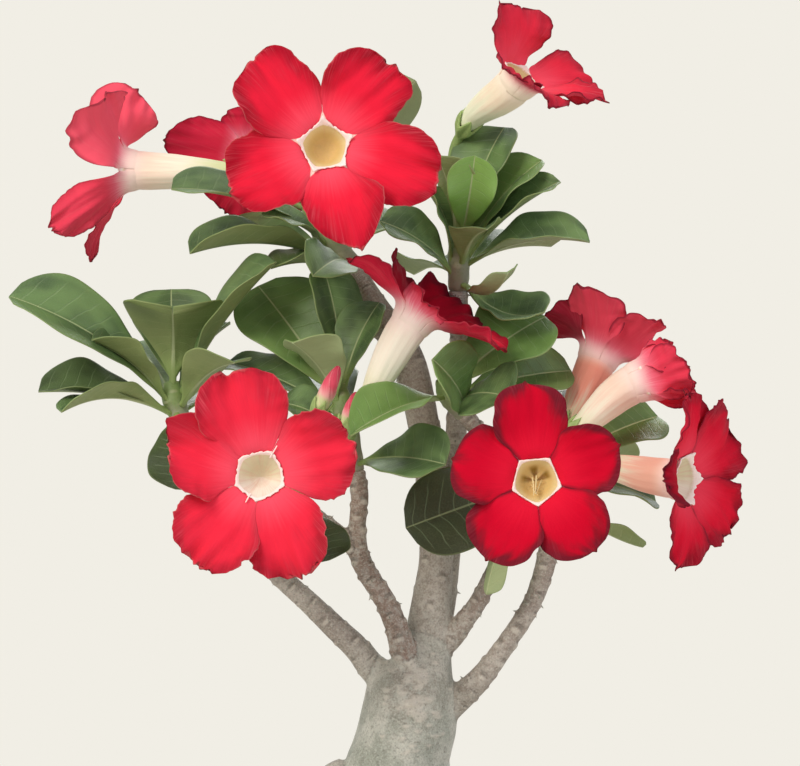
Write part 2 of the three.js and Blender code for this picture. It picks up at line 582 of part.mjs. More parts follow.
const SHOOTS = {
  left: {
    stem: [[-78, 5.4, 259, 3.7], [-79.5, 5.6, 264, 4.2], [-80.5, 5.6, 270, 2.4]],
    leaves: [
      { from: 0.7, tip: [-136, -12, 299], face: [0, -0.65, 0.75], wide: 31, bow: 6, fold: 26 },
      { from: 0.6, tip: [-107, -15, 284], face: [-0.2, -0.3, 0.95], wide: 20, fold: 32 },
      { from: 0.9, tip: [-79, -14, 293], face: [0, 0.9, 0.3], wide: 37, bow: 6, fold: 18 },
      { from: 0.9, tip: [-81, 20, 302], face: [0, -0.8, 0.6], wide: 30, fold: 16 },
      { from: 0.7, tip: [-43, -17, 311], face: [-0.6, -0.3, 0.7], wide: 24, fold: 30 },
      { from: 0.8, tip: [-60, 15, 290], face: [-0.7, -0.4, 0.5], wide: 20 },
      { from: 0.4, tip: [-126, -8, 266], face: [0, -0.45, 0.9], wide: 26, fold: 30 },
      { from: 0.3, tip: [-117, -24, 259], face: [0.1, 0.35, 0.95], wide: 22, bow: 6 },
      { from: 0.3, tip: [-72, -22, 232], face: [-0.3, -0.8, 0.4], wide: 26 },
      { from: 0.4, tip: [-57, -30, 276], face: [-0.3, 0.7, 0.6], wide: 24, bow: 4 },
      { from: 0.6, tip: [-97, 45, 283], face: [0.3, -0.5, 0.8], wide: 26 },
      { from: 0.3, tip: [-62, 42, 262], face: [-0.2, -0.4, 0.9], wide: 26 },
    ],
  },
  top_left: {
    stem: [[-20, 12, 313.5, 4.2], [-25, 12, 319, 4.4], [-30, 12, 327, 3.4], [-33, 12, 332, 2.2]],
    leaves: [
      { from: 0.6, tip: [-79, -22, 336], face: [0.1, -0.5, 0.85], wide: 24, bow: 5 },
      { from: 0.3, tip: [-73, -14, 314], face: [0, -0.1, 1], wide: 28, fold: 34, bow: 5 },
      { from: 0.5, tip: [-48, -12, 327], face: [0.2, -0.5, 0.8], wide: 15 },
      { from: 0.2, tip: [-30, -24, 306], face: [0.2, -0.8, 0.5], wide: 22 },
      { from: 0.1, tip: [-45, -6, 309], face: [0, -0.2, 1], wide: 20 },
      { from: 0.3, tip: [6, 38, 325], face: [-0.2, -0.5, 0.9], wide: 24 },
      { from: 0.5, tip: [-30, 52, 336], face: [0, -0.7, 0.8], wide: 26 },
      { from: 0.4, tip: [-66, 34, 322], face: [0.3, -0.5, 0.8], wide: 26 },
      { from: 0.8, tip: [3, 18, 376], face: [-0.2, 0.8, 0.5], wide: 26 },
    ],
  },
  top_right: {
    stem: [[20.6, 0, 309, 3.8], [21, 0.5, 316, 4], [21, 2, 326, 3.4], [21, 3, 334, 2.2]],
    leaves: [
      { from: 0.6, tip: [37, 14, 359], face: [-0.5, -0.7, 0.5], wide: 28, bow: 4 },
      { from: 0.6, tip: [26, -14, 348], face: [0.1, -0.95, 0.2], wide: 19, fold: 22 },
      { from: 0.5, tip: [50, 4, 347], face: [-0.5, -0.5, 0.7], wide: 30, fold: 22 },
      { from: 0.4, tip: [56, -8, 339], face: [-0.3, -0.4, 0.85], wide: 22 },
      { from: 0.3, tip: [66, -12, 318], face: [0, -0.45, 0.9], wide: 25, fold: 30, bow: 5 },
      { from: 0.5, tip: [13, -12, 348], face: [0.6, 0.5, 0.6], wide: 24 },
      { from: 0.3, tip: [9, -4, 337], face: [0.6, -0.4, 0.6], wide: 22 },
      { from: 0.3, tip: [30, -28, 322], face: [-0.2, 0.1, 1], wide: 19 },
      { from: 0.1, tip: [37, -28, 309], face: [-0.1, -0.3, 0.95], wide: 20, bow: -9 },
      { from: 0.1, tip: [51, -14, 297], face: [0, -0.4, 0.9], wide: 22, bow: 5 },
      { from: 0.5, tip: [29, 50, 332], face: [0, -0.6, 0.9], wide: 28 },
      { from: 0.2, tip: [5, 42, 308], face: [0.1, -0.4, 0.9], wide: 24 },
      { from: 0.3, tip: [54, 40, 318], face: [-0.3, -0.4, 0.9], wide: 26 },
      { from: 0.2, tip: [-7, -13, 325], face: [0.1, -0.6, 0.75], wide: 24 },
    ],
  },
  middle: {
    stem: [[-17, -12, 246, 3.6], [-18.5, -12, 255, 3.9], [-20.5, -11, 264, 3.4], [-21.5, -10, 269, 2.2]],
    leaves: [
      { from: 0.1, tip: [15, -44, 248], face: [0, -0.6, 0.8], wide: 19, fold: 18 },
      { from: 0.9, tip: [-12, -2, 296], face: [-0.5, -0.7, 0.2], wide: 18 },
      { from: 0.7, tip: [-37, -26, 283], face: [0.2, 0.3, 0.8], wide: 28 },
      { from: 0.8, tip: [-50, 12, 303], face: [0.1, -0.9, 0.4], wide: 33, fold: 14 },
      { from: 0.9, tip: [-27, 4, 309], face: [0.5, -0.8, 0.2], wide: 23 },
      { from: 0.6, tip: [-61, 15, 276], face: [0.1, -0.6, 0.8], wide: 20 },
      { from: 0.4, tip: [-42, -10, 262], face: [0, -0.6, 0.8], wide: 18 },
      { from: 0.5, tip: [-30, 42, 272], face: [0, -0.5, 0.9], wide: 26 },
      { from: 0.2, tip: [-40, 26, 248], face: [0.2, -0.5, 0.9], wide: 24 },
    ],
  },
  upright: {
    stem: [[18.5, -11.5, 262, 3.3], [16, -13, 266, 3.5], [14.5, -14, 271, 2.2]],
    leaves: [
      { from: 0.6, tip: [-17, -58, 253], face: [0, -0.5, 0.87], wide: 23, fold: 30 },
      { from: 0.1, tip: [11, -37, 278], face: [0.5, -0.6, 0.6], wide: 20 },
      { from: 0.2, tip: [34, -36, 238], face: [0.1, -0.9, 0.4], wide: 33, fold: 14 },
      { from: 0.7, tip: [45, 1, 288], face: [-0.4, -0.8, 0.4], wide: 26, fold: 14 },
      { from: 0.4, tip: [62, 4, 280], face: [-0.2, -0.8, 0.5], wide: 22 },
    ],
  },
  right: {
    stem: [[52, -6.5, 236, 3.6], [52.5, -6, 242, 3.9], [53, -5, 248, 2.4]],
    leaves: [
      { from: 0.3, tip: [2, -27, 219], face: [0, -0.95, 0.1], wide: 31, fold: 12 },
      { from: 0.6, tip: [91, 16, 259], face: [-0.3, -0.7, 0.6], wide: 25 },
      { from: 0.3, tip: [90, 12, 227], face: [0, -0.6, 0.7], wide: 24 },
      { from: 0.2, tip: [86, 22, 214], face: [0, -0.1, 1], wide: 14 },
      { from: 0.3, tip: [31, -27, 194], face: [0.2, 0.9, 0.3], wide: 13, bow: -4 },
      { from: 0.6, tip: [58, 40, 266], face: [0, -0.6, 0.8], wide: 26 },
      { from: 0.4, tip: [80, 38, 240], face: [-0.3, -0.4, 0.9], wide: 26 },
      { from: 0.3, tip: [34, 36, 236], face: [0.2, -0.4, 0.9], wide: 26 },
    ],
  },
  lower: {
    stem: [[-34, -18, 227, 3.5], [-37, -20, 230.5, 3.2], [-39, -22, 232, 2.2]],
    leaves: [
      { from: 0.3, tip: [-30, -37, 207], face: [0.4, -0.9, 0], wide: 27 },
      { from: 0.3, tip: [-47, 14, 238], face: [-0.2, -0.3, 0.9], wide: 22 },
      { from: 0.3, tip: [-66, -26, 212], face: [0.2, -0.4, 0.9], wide: 22 },
    ],
  },
};

// The flowers. foot: where the tube starts, on its green stalk. footWay: the way the tube starts.
// aim: the way the mouth looks. from: share of the shoot's length at the stalk's root.
const FLOWERS = {
  flower_front_top: {
    shoot: "top_left", from: 0.85, foot: [-21, -18, 331], footWay: [0, -0.75, 0.65],
    throat: [-25.5, -58, 349], aim: [0.05, -1, 0.12],
    petals: [
      { angle: 48, long: 33, wide: 31 }, { angle: 133, long: 34, wide: 31 },
      { angle: 206, long: 31, wide: 31 }, { angle: 288, long: 32, wide: 29 },
      { angle: 345, long: 33, wide: 28 },
    ],
  },
  flower_far_left: {
    shoot: "top_left", from: 1, foot: [-56, 8, 343], footWay: [-0.98, 0.05, 0], throat: [-96, 14, 344],
    aim: [-1, 0.1, 0],
    petals: [
      { angle: 46, lift: 5, twist: -55, long: 26, wide: 28 }, { angle: 116, lift: 35, long: 25 },
      { angle: 180, lift: 20, long: 24 }, { angle: 244, lift: 45, long: 27, wide: 24 },
      { angle: 312, lift: 48, twist: 45, long: 27, wide: 22, recurve: 10 },
    ],
  },
  flower_top_right: {
    shoot: "top_right", from: 1, foot: [23, 10, 359], footWay: [0.45, -0.5, 0.7], throat: [42, -10, 375],
    aim: [0.62, -0.36, 0.7],
    petals: [
      { angle: 4, lift: 10, long: 26 }, { angle: 92, lift: 42, long: 24 },
      { angle: 170, lift: 40, long: 23 }, { angle: 242, lift: 42, long: 23 },
      { angle: 310, lift: 22, long: 26 },
    ],
  },
  flower_centre: {
    shoot: "middle", from: 0.3, foot: [-12.5, -26, 259.5], footWay: [0.45, 0, 0.88], throat: [5, -27, 291.5],
    aim: [0.55, 0.1, 0.78],
    petals: [
      { angle: 20, lift: 35 }, { angle: 92, lift: 0, long: 33, wide: 20 }, { angle: 152, lift: 30 },
      { angle: 222, lift: 45, long: 24 }, { angle: 285, lift: 30 },
    ],
  },
  flower_front_left: {
    shoot: "lower", from: 0.9, foot: [-41, -34, 233], footWay: [-0.1, -1, 0], throat: [-47, -75, 238],
    aim: [0, -1, 0.05],
    petals: [
      { angle: 22, long: 32, wide: 30 }, { angle: 106, long: 33, wide: 29 },
      { angle: 168, long: 28, wide: 29 }, { angle: 229, long: 31, wide: 29 },
      { angle: 292, long: 31, wide: 29 },
    ],
  },
  flower_front_right: {
    shoot: "right", from: 0.4, foot: [51, -25, 236], footWay: [-0.1, -1, 0], throat: [46, -62, 236],
    aim: [0, -1, 0.05],
    petals: [
      { angle: 23, long: 25, wide: 25 }, { angle: 96, long: 26, wide: 26 },
      { angle: 164, long: 26, wide: 27 }, { angle: 238, long: 26, wide: 26 },
      { angle: 309, long: 25, wide: 25 },
    ],
  },
  flower_right_back: {
    shoot: "right", from: 0.9, foot: [57, -1, 253], footWay: [0.5, 0.2, 0.8], throat: [70.5, 13, 279],
    aim: [0.42, 0.15, 0.85],
    petals: [
      { angle: 20, lift: 22, long: 26 }, { angle: 95, lift: -15, wide: 22, long: 26 },
      { angle: 165, lift: 42, long: 25 }, { angle: 236, lift: 40, long: 23 },
      { angle: 308, lift: 22, long: 26 },
    ],
  },
  flower_right_front: {
    shoot: "right", from: 0.7, foot: [59.5, -15, 251], footWay: [0.8, 0, 0.6], throat: [84, -17, 270],
    aim: [0.94, -0.05, 0.32],
    petals: [
      { angle: 40, lift: 66, long: 22, wide: 20 }, { angle: 112, lift: 56, long: 20, wide: 20 },
      { angle: 184, lift: 62, long: 21, wide: 20 }, { angle: 256, lift: 74, long: 20, wide: 20 },
      { angle: 328, lift: 66, long: 21, wide: 20 },
    ],
  },
  flower_far_right: {
    shoot: "right", from: 0.7, foot: [65.5, -10, 241], footWay: [0.95, -0.2, -0.1], throat: [97, -30, 236],
    aim: [0.85, -0.5, 0],
    petals: [
      { angle: 38, lift: 15, long: 26 }, { angle: 104, lift: 5, wide: 24, long: 23 },
      { angle: 180, lift: -20, wide: 22, long: 21 }, { angle: 258, lift: 5, wide: 21, long: 24 },
      { angle: 318, lift: 20, long: 26 },
    ],
  },
  flower_behind: {
    shoot: "top_left", from: 0.95, foot: [-40, 18, 337], footWay: [-0.4, 0.6, 0.6], throat: [-51, 45, 347],
    aim: [-0.35, 0.9, 0.15],
    petals: [
      { angle: 16, long: 27 }, { angle: 88, long: 24 }, { angle: 160 }, { angle: 232, long: 24 },
      { angle: 304, long: 21 },
    ],
  },
};

const BUDS = {
  bud_large: {
    shoot: "middle", from: 0.6, foot: [-26.5, -26, 259.5], throat: [-21, -29, 275], size: 1, calyx: 0.86,
  },
  bud_small: {
    shoot: "middle", from: 0.4, foot: [-19, -37, 254], throat: [-15, -40, 266], size: 0.8, calyx: 0.7,
  },
};

function readied(flower) {
  const foot = vec(flower.foot);
  const throat = vec(flower.throat);
  const aim = flower.aim ? unit(flower.aim) : throat.clone().sub(foot).normalize();
  const footWay = flower.footWay ? unit(flower.footWay) : aim;
  return { ...flower, foot, throat, aim, footWay, ...mouthFrame(aim) };
}

function shootSolid(name) {
  const { leaves } = SHOOTS[name];
  const branch = BRANCHES[name];
  const start = endWay(branch);
  const cut = branch[branch.length - 1];
  const foot = vec(cut).addScaledVector(start, GAP);
  const stem = [[...foot.toArray(), cut[3]], ...SHOOTS[name].stem];
  const curve = new THREE.CatmullRomCurve3(stem.map(vec));
  const solids = [stalkFrom(stem, BRANCH_SIDES, stem.length, start, null)];
  for (const leaf of leaves) solids.push(leafSolid(curve, stem, leaf));
  for (const flower of [...Object.values(FLOWERS), ...Object.values(BUDS)]) {
    if (flower.shoot === name) solids.push(calyxSolid(readied(flower), curve.getPoint(flower.from)));
  }
  return joined(solids);
}

// The plant and its pot

const plant = new THREE.Group();

function place(name, solid, color, roughness) {
  const material = new THREE.MeshStandardMaterial({ color, roughness, metalness: 0, flatShading: true });
  const mesh = new THREE.Mesh(geometryFrom(solid), material);
  mesh.name = name;
  plant.add(mesh);
}

place("pot", potSolid(), CLAY, 0.85);
place("soil", soilSolid(), SOIL, 0.95);
place("wood", woodSolid(), BARK, 0.8);
for (const name of Object.keys(SHOOTS)) place(`shoot_${name}`, shootSolid(name), LEAF, 0.45);
for (const [name, data] of Object.entries(FLOWERS)) {
  const flower = readied(data);
  place(`${name}_petals`, limbSolid(flower), PETAL_RED, 0.5);
  place(`${name}_tube`, tubeSolid(flower), TUBE_CREAM, 0.55);
}
for (const [name, data] of Object.entries(BUDS)) place(name, budSolid(readied(data)), BUD_PINK, 0.5);

export default plant;
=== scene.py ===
# %% [markdown]
# # A desert rose in a clay pot
#
# A desert rose, Adenium, is a succulent shrub. It keeps its water in a swollen grey trunk, and its
# branches end in whorls of leathery leaves and red flowers on cream tubes. This lesson rebuilds one
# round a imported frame: the frame says where every stem, leaf and flower is, and each step below
# makes one kind of piece finer than its plain solid, in the same place.
#
# The numbers below are millimetres, as a grower would measure them, and `MM` turns them into
# Blender's metres when a mesh is written.

# %% Load the frame
import math
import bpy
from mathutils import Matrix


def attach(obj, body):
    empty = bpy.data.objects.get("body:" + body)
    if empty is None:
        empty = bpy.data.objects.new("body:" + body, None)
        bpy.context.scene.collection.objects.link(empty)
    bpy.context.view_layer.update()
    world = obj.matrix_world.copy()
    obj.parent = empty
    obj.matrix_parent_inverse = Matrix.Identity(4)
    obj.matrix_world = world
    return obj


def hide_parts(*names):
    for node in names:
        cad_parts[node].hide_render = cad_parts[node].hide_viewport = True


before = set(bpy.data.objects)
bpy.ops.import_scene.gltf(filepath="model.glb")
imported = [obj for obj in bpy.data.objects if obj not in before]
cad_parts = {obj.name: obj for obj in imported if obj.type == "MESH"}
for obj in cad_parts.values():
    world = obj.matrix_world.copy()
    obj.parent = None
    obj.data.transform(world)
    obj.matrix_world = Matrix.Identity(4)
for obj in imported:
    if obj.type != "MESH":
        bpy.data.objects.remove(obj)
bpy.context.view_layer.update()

from types import SimpleNamespace

import bpy
import numpy as np

MM = 0.001
print("nodes in the frame:", len(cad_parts))

# %% [markdown]
# ## Camera
#
# The plant is seen level, from the front, at the height of its leaves. A wide lens close by would
# make the front flowers too large, so a long lens stands far off: two numbers, how far away it
# stands and how much of the plant fills the picture from side to side, give its focal length.

# %% Camera
VIEW_DISTANCE = 1.8
VIEW_HEIGHT = 0.269
VIEW_WIDTH = 0.28
FILM_WIDTH = 36

bpy.ops.object.camera_add(
    location=(0, -VIEW_DISTANCE, VIEW_HEIGHT), rotation=(math.pi / 2, 0, 0))
camera = bpy.context.object
camera.data.sensor_width = FILM_WIDTH
camera.data.lens = FILM_WIDTH * VIEW_DISTANCE / VIEW_WIDTH
bpy.context.scene.camera = camera
print("lens:", round(camera.data.lens), "mm")

# %% [markdown]
# ## Shader sums
#
# Every finish below is a pattern worked out from a few numbers, such as how far a point lies from
# a leaf's rib. Laying Math nodes out by hand hides such a sum, so one small class lets it be
# written as plain arithmetic. Colours never go through it, because a Math node turns them grey:
# they go through `blend`. Any other node comes from `node`, which takes its settings first and
# then what goes into its sockets.

# %% A class for shader sums
class Flow:
    """A number that varies over a surface. Arithmetic on it adds Math nodes."""

    def __init__(self, finish, socket):
        self.finish = finish
        self.socket = socket

    def sum(self, operation, first, second=0.0):
        settings = {"operation": operation}
        return self.finish.node("ShaderNodeMath", settings, {0: first, 1: second})

    def __add__(self, other):
        return self.sum("ADD", self, other)

    def __sub__(self, other):
        return self.sum("SUBTRACT", self, other)

    def __rsub__(self, other):
        return self.sum("SUBTRACT", other, self)

    def __mul__(self, other):
        return self.sum("MULTIPLY", self, other)

    def __truediv__(self, other):
        return self.sum("DIVIDE", self, other)

    def __pow__(self, other):
        return self.sum("POWER", self, other)

    def __abs__(self):
        return self.sum("ABSOLUTE", self)

    __radd__ = __add__
    __rmul__ = __mul__

    def fraction(self):
        return self.sum("FRACT", self)

    def wave(self):
        return self.sum("SINE", self)

    def most(self, other):
        """The greater of two numbers."""
        return self.sum("MAXIMUM", self, other)

    def least(self, other):
        """The lesser of two numbers."""
        return self.sum("MINIMUM", self, other)

    def swing(self, amount):
        """What a pattern between 0 and 1 adds or takes away, about its middle."""
        return (self - 0.5) * amount

    def rise(self, low=0.0, high=1.0):
        """0 below low, 1 above high and a soft step between."""
        sockets = {"Value": self, "From Min": low, "From Max": high}
        return self.finish.node("ShaderNodeMapRange", {"interpolation_type": "SMOOTHSTEP"}, sockets)


def paint(code):
    """The linear colour of a red, green and blue code such as #C8142A."""
    parts = [int(code[i:i + 2], 16) / 255 for i in (1, 3, 5)]
    return tuple(p / 12.92 if p <= 0.04045 else ((p + 0.055) / 1.055) ** 2.4 for p in parts) + (1.0,)


class Finish:
    """A material being made, with its one shader."""

    def __init__(self, name, **fixed):
        self.material = bpy.data.materials.new(name)
        self.material.use_nodes = True
        self.tree = self.material.node_tree
        self.shader = self.tree.nodes["Principled BSDF"]
        for socket, value in fixed.items():
            self.shader.inputs[socket.replace("_", " ")].default_value = value

    def node(self, kind, settings=None, inputs=None, output=0):
        made = self.tree.nodes.new(kind)
        for key, value in (settings or {}).items():
            if key == "stops":
                ramp = made.color_ramp.elements
                while len(ramp) < len(value):
                    ramp.new(0.5)
                for stop, (place, colour) in zip(ramp, value):
                    stop.position, stop.color = place, colour
            else:
                setattr(made, key, value)
        for key, value in (inputs or {}).items():
            self.feed(made.inputs[key], value)
        return Flow(self, made.outputs[output])

    def feed(self, socket, value):
        """Puts a link, a number or a colour code into a socket."""
        if isinstance(value, str):
            value = paint(value)
        if isinstance(value, Flow):
            self.tree.links.new(value.socket, socket)
        else:
            socket.default_value = value

    def attribute(self, name, output="Fac"):
        return self.node("ShaderNodeAttribute", {"attribute_name": name}, output=output)

    def marks(self, names):
        """The numbers kept with a piece's points under several names."""
        return [self.attribute(name) for name in names.split()]

    def parts(self, vector):
        """The three numbers of a vector."""
        return [self.node("ShaderNodeSeparateXYZ", inputs={0: vector}, output=i) for i in range(3)]

    def point(self, x, y, z):
        return self.node("ShaderNodeCombineXYZ", inputs={0: x, 1: y, 2: z})

    def place(self):
        return self.node("ShaderNodeTexCoord", output="Object")

    def noise(self, vector, scale, detail=3.0, roughness=0.55):
        sockets = {"Vector": vector, "Scale": scale, "Detail": detail, "Roughness": roughness}
        return self.node("ShaderNodeTexNoise", inputs=sockets)

    def cells(self, vector, scale, feature="F1"):
        sockets = {"Vector": vector, "Scale": scale}
        return self.node("ShaderNodeTexVoronoi", {"feature": feature}, sockets, "Distance")

    def blend(self, share, first, second):
        sockets = {0: share, 6: first, 7: second}
        return self.node("ShaderNodeMix", {"data_type": "RGBA"}, sockets, output=2)

    def coats(self, colour, *coats):
        """A colour with coats laid over it one after another, each a share and its colour."""
        for share, coat in coats:
            colour = self.blend(share, colour, coat)
        return colour

    def relief(self, height, distance):
        """Bumps of a height given from 0 to 1, as deep as distance in millimetres."""
        sockets = {"Height": height, "Distance": distance * MM, "Strength": 1.0}
        self.feed(self.shader.inputs["Normal"], self.node("ShaderNodeBump", inputs=sockets))

    def done(self, colour, roughness):
        self.feed(self.shader.inputs["Base Color"], colour)
        self.feed(self.shader.inputs["Roughness"], roughness)
        return self.material


print("red of the petals:", [round(value, 3) for value in paint("#C8142A")[:3]])

# %% [markdown]
# ## Light, background and floor
#
# The picture is a plain studio one: a pale cream background, a broad soft light from the upper
# left, and enough light from all round that no shadow is black. A wall behind the plant would get
# in the way of a camera that walks round it, so the background is the world's own colour, and the
# floor is a disc whose outer part turns into that colour before it ends.

# %% World and lights
BACKGROUND = paint("#F1EEE5")
AMBIENT = paint("#EFF1F4")
AMBIENT_STRENGTH = 0.62
AIM_HEIGHT = 0.26

world = bpy.data.worlds.new("studio")
world.use_nodes = True
bpy.context.scene.world = world
bpy.context.scene.view_settings.view_transform = "Standard"
nodes, links = world.node_tree.nodes, world.node_tree.links
nodes.clear()
ambient = nodes.new("ShaderNodeBackground")
ambient.inputs["Color"].default_value = AMBIENT
ambient.inputs["Strength"].default_value = AMBIENT_STRENGTH
backdrop = nodes.new("ShaderNodeBackground")
backdrop.inputs["Color"].default_value = BACKGROUND
seen = nodes.new("ShaderNodeLightPath")
either = nodes.new("ShaderNodeMixShader")
links.new(seen.outputs["Is Camera Ray"], either.inputs[0])
links.new(ambient.outputs[0], either.inputs[1])
links.new(backdrop.outputs[0], either.inputs[2])
links.new(either.outputs[0], nodes.new("ShaderNodeOutputWorld").inputs[0])


def soft_light(name, place, size, power, colour):
    """A square light that looks at the height of the leaves."""
    bpy.ops.object.light_add(type="AREA", location=place)
    light = bpy.context.object
    light.name = name
    light.data.size = size
    light.data.energy = power
    light.data.color = paint(colour)[:3]
    towards = light.location.copy()
    towards.z -= AIM_HEIGHT
    light.rotation_euler = towards.to_track_quat("Z", "Y").to_euler()
    print(name, "light:", power, "W from", place)


soft_light("key", (-1.1, -1.5, 1.5), 1.1, 34, "#FFF8EE")
soft_light("fill", (1.6, -1.1, 0.7), 1.4, 9, "#F2F5FF")
soft_light("back", (0.4, 1.7, 1.5), 1.2, 14, "#FFFFFF")

# %% Floor
FLOOR_RADIUS = 1.1
FLOOR_PLAIN = 0.35

bpy.ops.mesh.primitive_circle_add(vertices=96, radius=FLOOR_RADIUS, fill_type="NGON")
floor = bpy.context.object
floor.name = "floor"
floor_finish = Finish("floor paper", Roughness=0.9)
away = floor_finish.node(
    "ShaderNodeVectorMath", {"operation": "LENGTH"}, {0: floor_finish.place()}, output="Value")
floor_finish.feed(floor_finish.shader.inputs["Base Color"], "#E9E6DD")
glow = floor_finish.node("ShaderNodeEmission", inputs={"Color": BACKGROUND})
paper = Flow(floor_finish, floor_finish.shader.outputs[0])
fade = floor_finish.node("ShaderNodeMixShader", inputs={
    0: away.rise(FLOOR_PLAIN, FLOOR_RADIUS * 0.95), 1: paper, 2: glow})
floor_finish.feed(floor_finish.tree.nodes["Material Output"].inputs["Surface"], fade)
floor.data.materials.append(floor_finish.material)
print("floor:", 2 * FLOOR_RADIUS, "m across")

# %% [markdown]
# ## Two blanks
#
# Nearly all of a plant is blades and stalks. A blade, be it a leaf or a petal, is a sheet with two
# faces, so its blank is a grid that is extruded once: x runs across the blade, y runs along it
# and z tells its two faces apart. A stalk or a tube is a rolled skin, so its blank is a circle
# whose edge is extruded again and again: the angle runs round it and z runs along it.
#
# Each blank is modelled once. Every leaf, petal, stalk and tube is a copy with its own mesh, whose
# points are then laid where that one grows. Sculpting sixty leaves by hand would give the same
# shapes, but it couldn't be repeated or put right with one number.

# %% Blank of a blade and blank of a sleeve
def start_edit():
    bpy.ops.object.mode_set(mode="EDIT")
    bpy.ops.mesh.select_mode(type="VERT")
    bpy.ops.mesh.select_all(action="SELECT")


def end_edit():
    bpy.ops.object.mode_set(mode="OBJECT")


def pick(*pieces):
    """Selects these pieces alone, the first of them active."""
    bpy.ops.object.select_all(action="DESELECT")
    for piece in pieces:
        piece.select_set(True)
    bpy.context.view_layer.objects.active = pieces[0]


def points_of(piece):
    table = np.empty(len(piece.data.vertices) * 3)
    piece.data.vertices.foreach_get("co", table)
    return table.reshape(-1, 3)


def blade_blank(columns, rows):
    """A closed sheet from -1 to 1 across, 0 to 1 along, and -1 or 1 for its two faces."""
    bpy.ops.object.select_all(action="DESELECT")
    bpy.ops.mesh.primitive_grid_add(
        x_subdivisions=columns, y_subdivisions=rows, size=2, location=(0, 0, -1))
    blank = bpy.context.object
    bpy.ops.object.transform_apply(location=True)
    start_edit()
    bpy.ops.mesh.extrude_region_move(TRANSFORM_OT_translate={"value": (0, 0, 2)})
    bpy.ops.mesh.select_all(action="SELECT")
    bpy.ops.transform.resize(value=(1, 0.5, 1), center_override=(0, 0, 0))
    bpy.ops.transform.translate(value=(0, 0.5, 0))
    end_edit()
    return blank


def sleeve_blank(sides, rows):
    """An open skin of radius 1 that runs from 0 to 1 along z."""
    bpy.ops.object.select_all(action="DESELECT")
    bpy.ops.mesh.primitive_circle_add(vertices=sides, radius=1, fill_type="NOTHING")
    blank = bpy.context.object
    start_edit()
    for _ in range(rows):
        bpy.ops.mesh.extrude_region_move(TRANSFORM_OT_translate={"value": (0, 0, 1 / rows)})
    end_edit()
    return blank


blanks = {
    "leaf": blade_blank(22, 34),
    "petal": blade_blank(30, 36),
    "tube": sleeve_blank(80, 64),
    "calyx": sleeve_blank(40, 30),
    "stem": sleeve_blank(24, 26),
    "thread": sleeve_blank(6, 14),
    "bud": sleeve_blank(60, 44),
}
for name, blank in blanks.items():
    print(name, "blank:", len(blank.data.polygons), "faces")

# %% Copies of a blank
def keep(piece, **marks):
    """Keeps each mark, a number or a row of three, with the points for the finishes to read."""
    count = len(piece.data.vertices)
    for name, values in marks.items():
        rows = np.ndim(values) == 2
        kept = piece.data.attributes.new(name, "FLOAT_VECTOR" if rows else "FLOAT", "POINT")
        values = np.broadcast_to(np.asarray(values, float), (count, 3) if rows else count)
        kept.data.foreach_set("vector" if rows else "value", np.ascontiguousarray(values).ravel())
    return piece


def laid(blank, place, **marks):
    """A copy of a blank whose points lie where place says, in millimetres, with its marks."""
    piece = blanks[blank].copy()
    piece.data = blanks[blank].data.copy()
    bpy.context.scene.collection.objects.link(piece)
    piece.data.vertices.foreach_set("co", (np.asarray(place) * MM).ravel())
    return keep(piece, **marks)


def joined(name, pieces):
    """One piece out of several, with its doubled points merged and its faces turned outwards."""
    pick(*pieces)
    if len(pieces) > 1:
        bpy.ops.object.join()
    whole = bpy.context.object
    whole.name = whole.data.name = name
    start_edit()
    bpy.ops.mesh.remove_doubles(threshold=1e-6)
    bpy.ops.mesh.select_all(action="SELECT")
    bpy.ops.mesh.normals_make_consistent(inside=False)
    end_edit()
    bpy.ops.object.shade_smooth()
    return whole


def modified(piece, name, kind, **settings):
    """Adds a modifier to a picked piece, sets it and applies it."""
    modifier = piece.modifiers.new(name, kind)
    for key, value in settings.items():
        setattr(modifier, key, value)
    bpy.ops.object.modifier_apply(modifier=modifier.name)


def finished(piece, slot, node, *materials):
    """A piece gets its materials, rides on the one body and stands for a plain solid; slot is not used.
    """
    for material in materials:
        piece.data.materials.append(material)
    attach(piece, "root")
    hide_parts(node)
    print(piece.name, "has", sum(len(face.vertices) - 2 for face in piece.data.polygons), "triangles")


# %% Sums that several pieces use
def unit(vector):
    vector = np.asarray(vector, float)
    return vector / np.linalg.norm(vector, axis=-1, keepdims=True)


def part(low, high, value):
    """How far a value has come from low to high, from 0 to 1."""
    return np.clip((np.asarray(value, float) - low) / (high - low), 0, 1)


def smooth(low, high, value):
    """The same, with a soft start and end."""
    share = part(low, high, value)
    return share * share * (3 - 2 * share)


def column(values):
    return np.asarray(values, float)[:, None]


def apart(angle, other):
    """How far one angle lies from another, between half a turn either way."""
    return (angle - other + math.pi) % (2 * math.pi) - math.pi


def around(middle, first, second, angle, radius):
    """Places at an angle and a distance from a middle line, by two directions square to it."""
    return middle + first * column(np.cos(angle) * radius) + second * column(np.sin(angle) * radius)


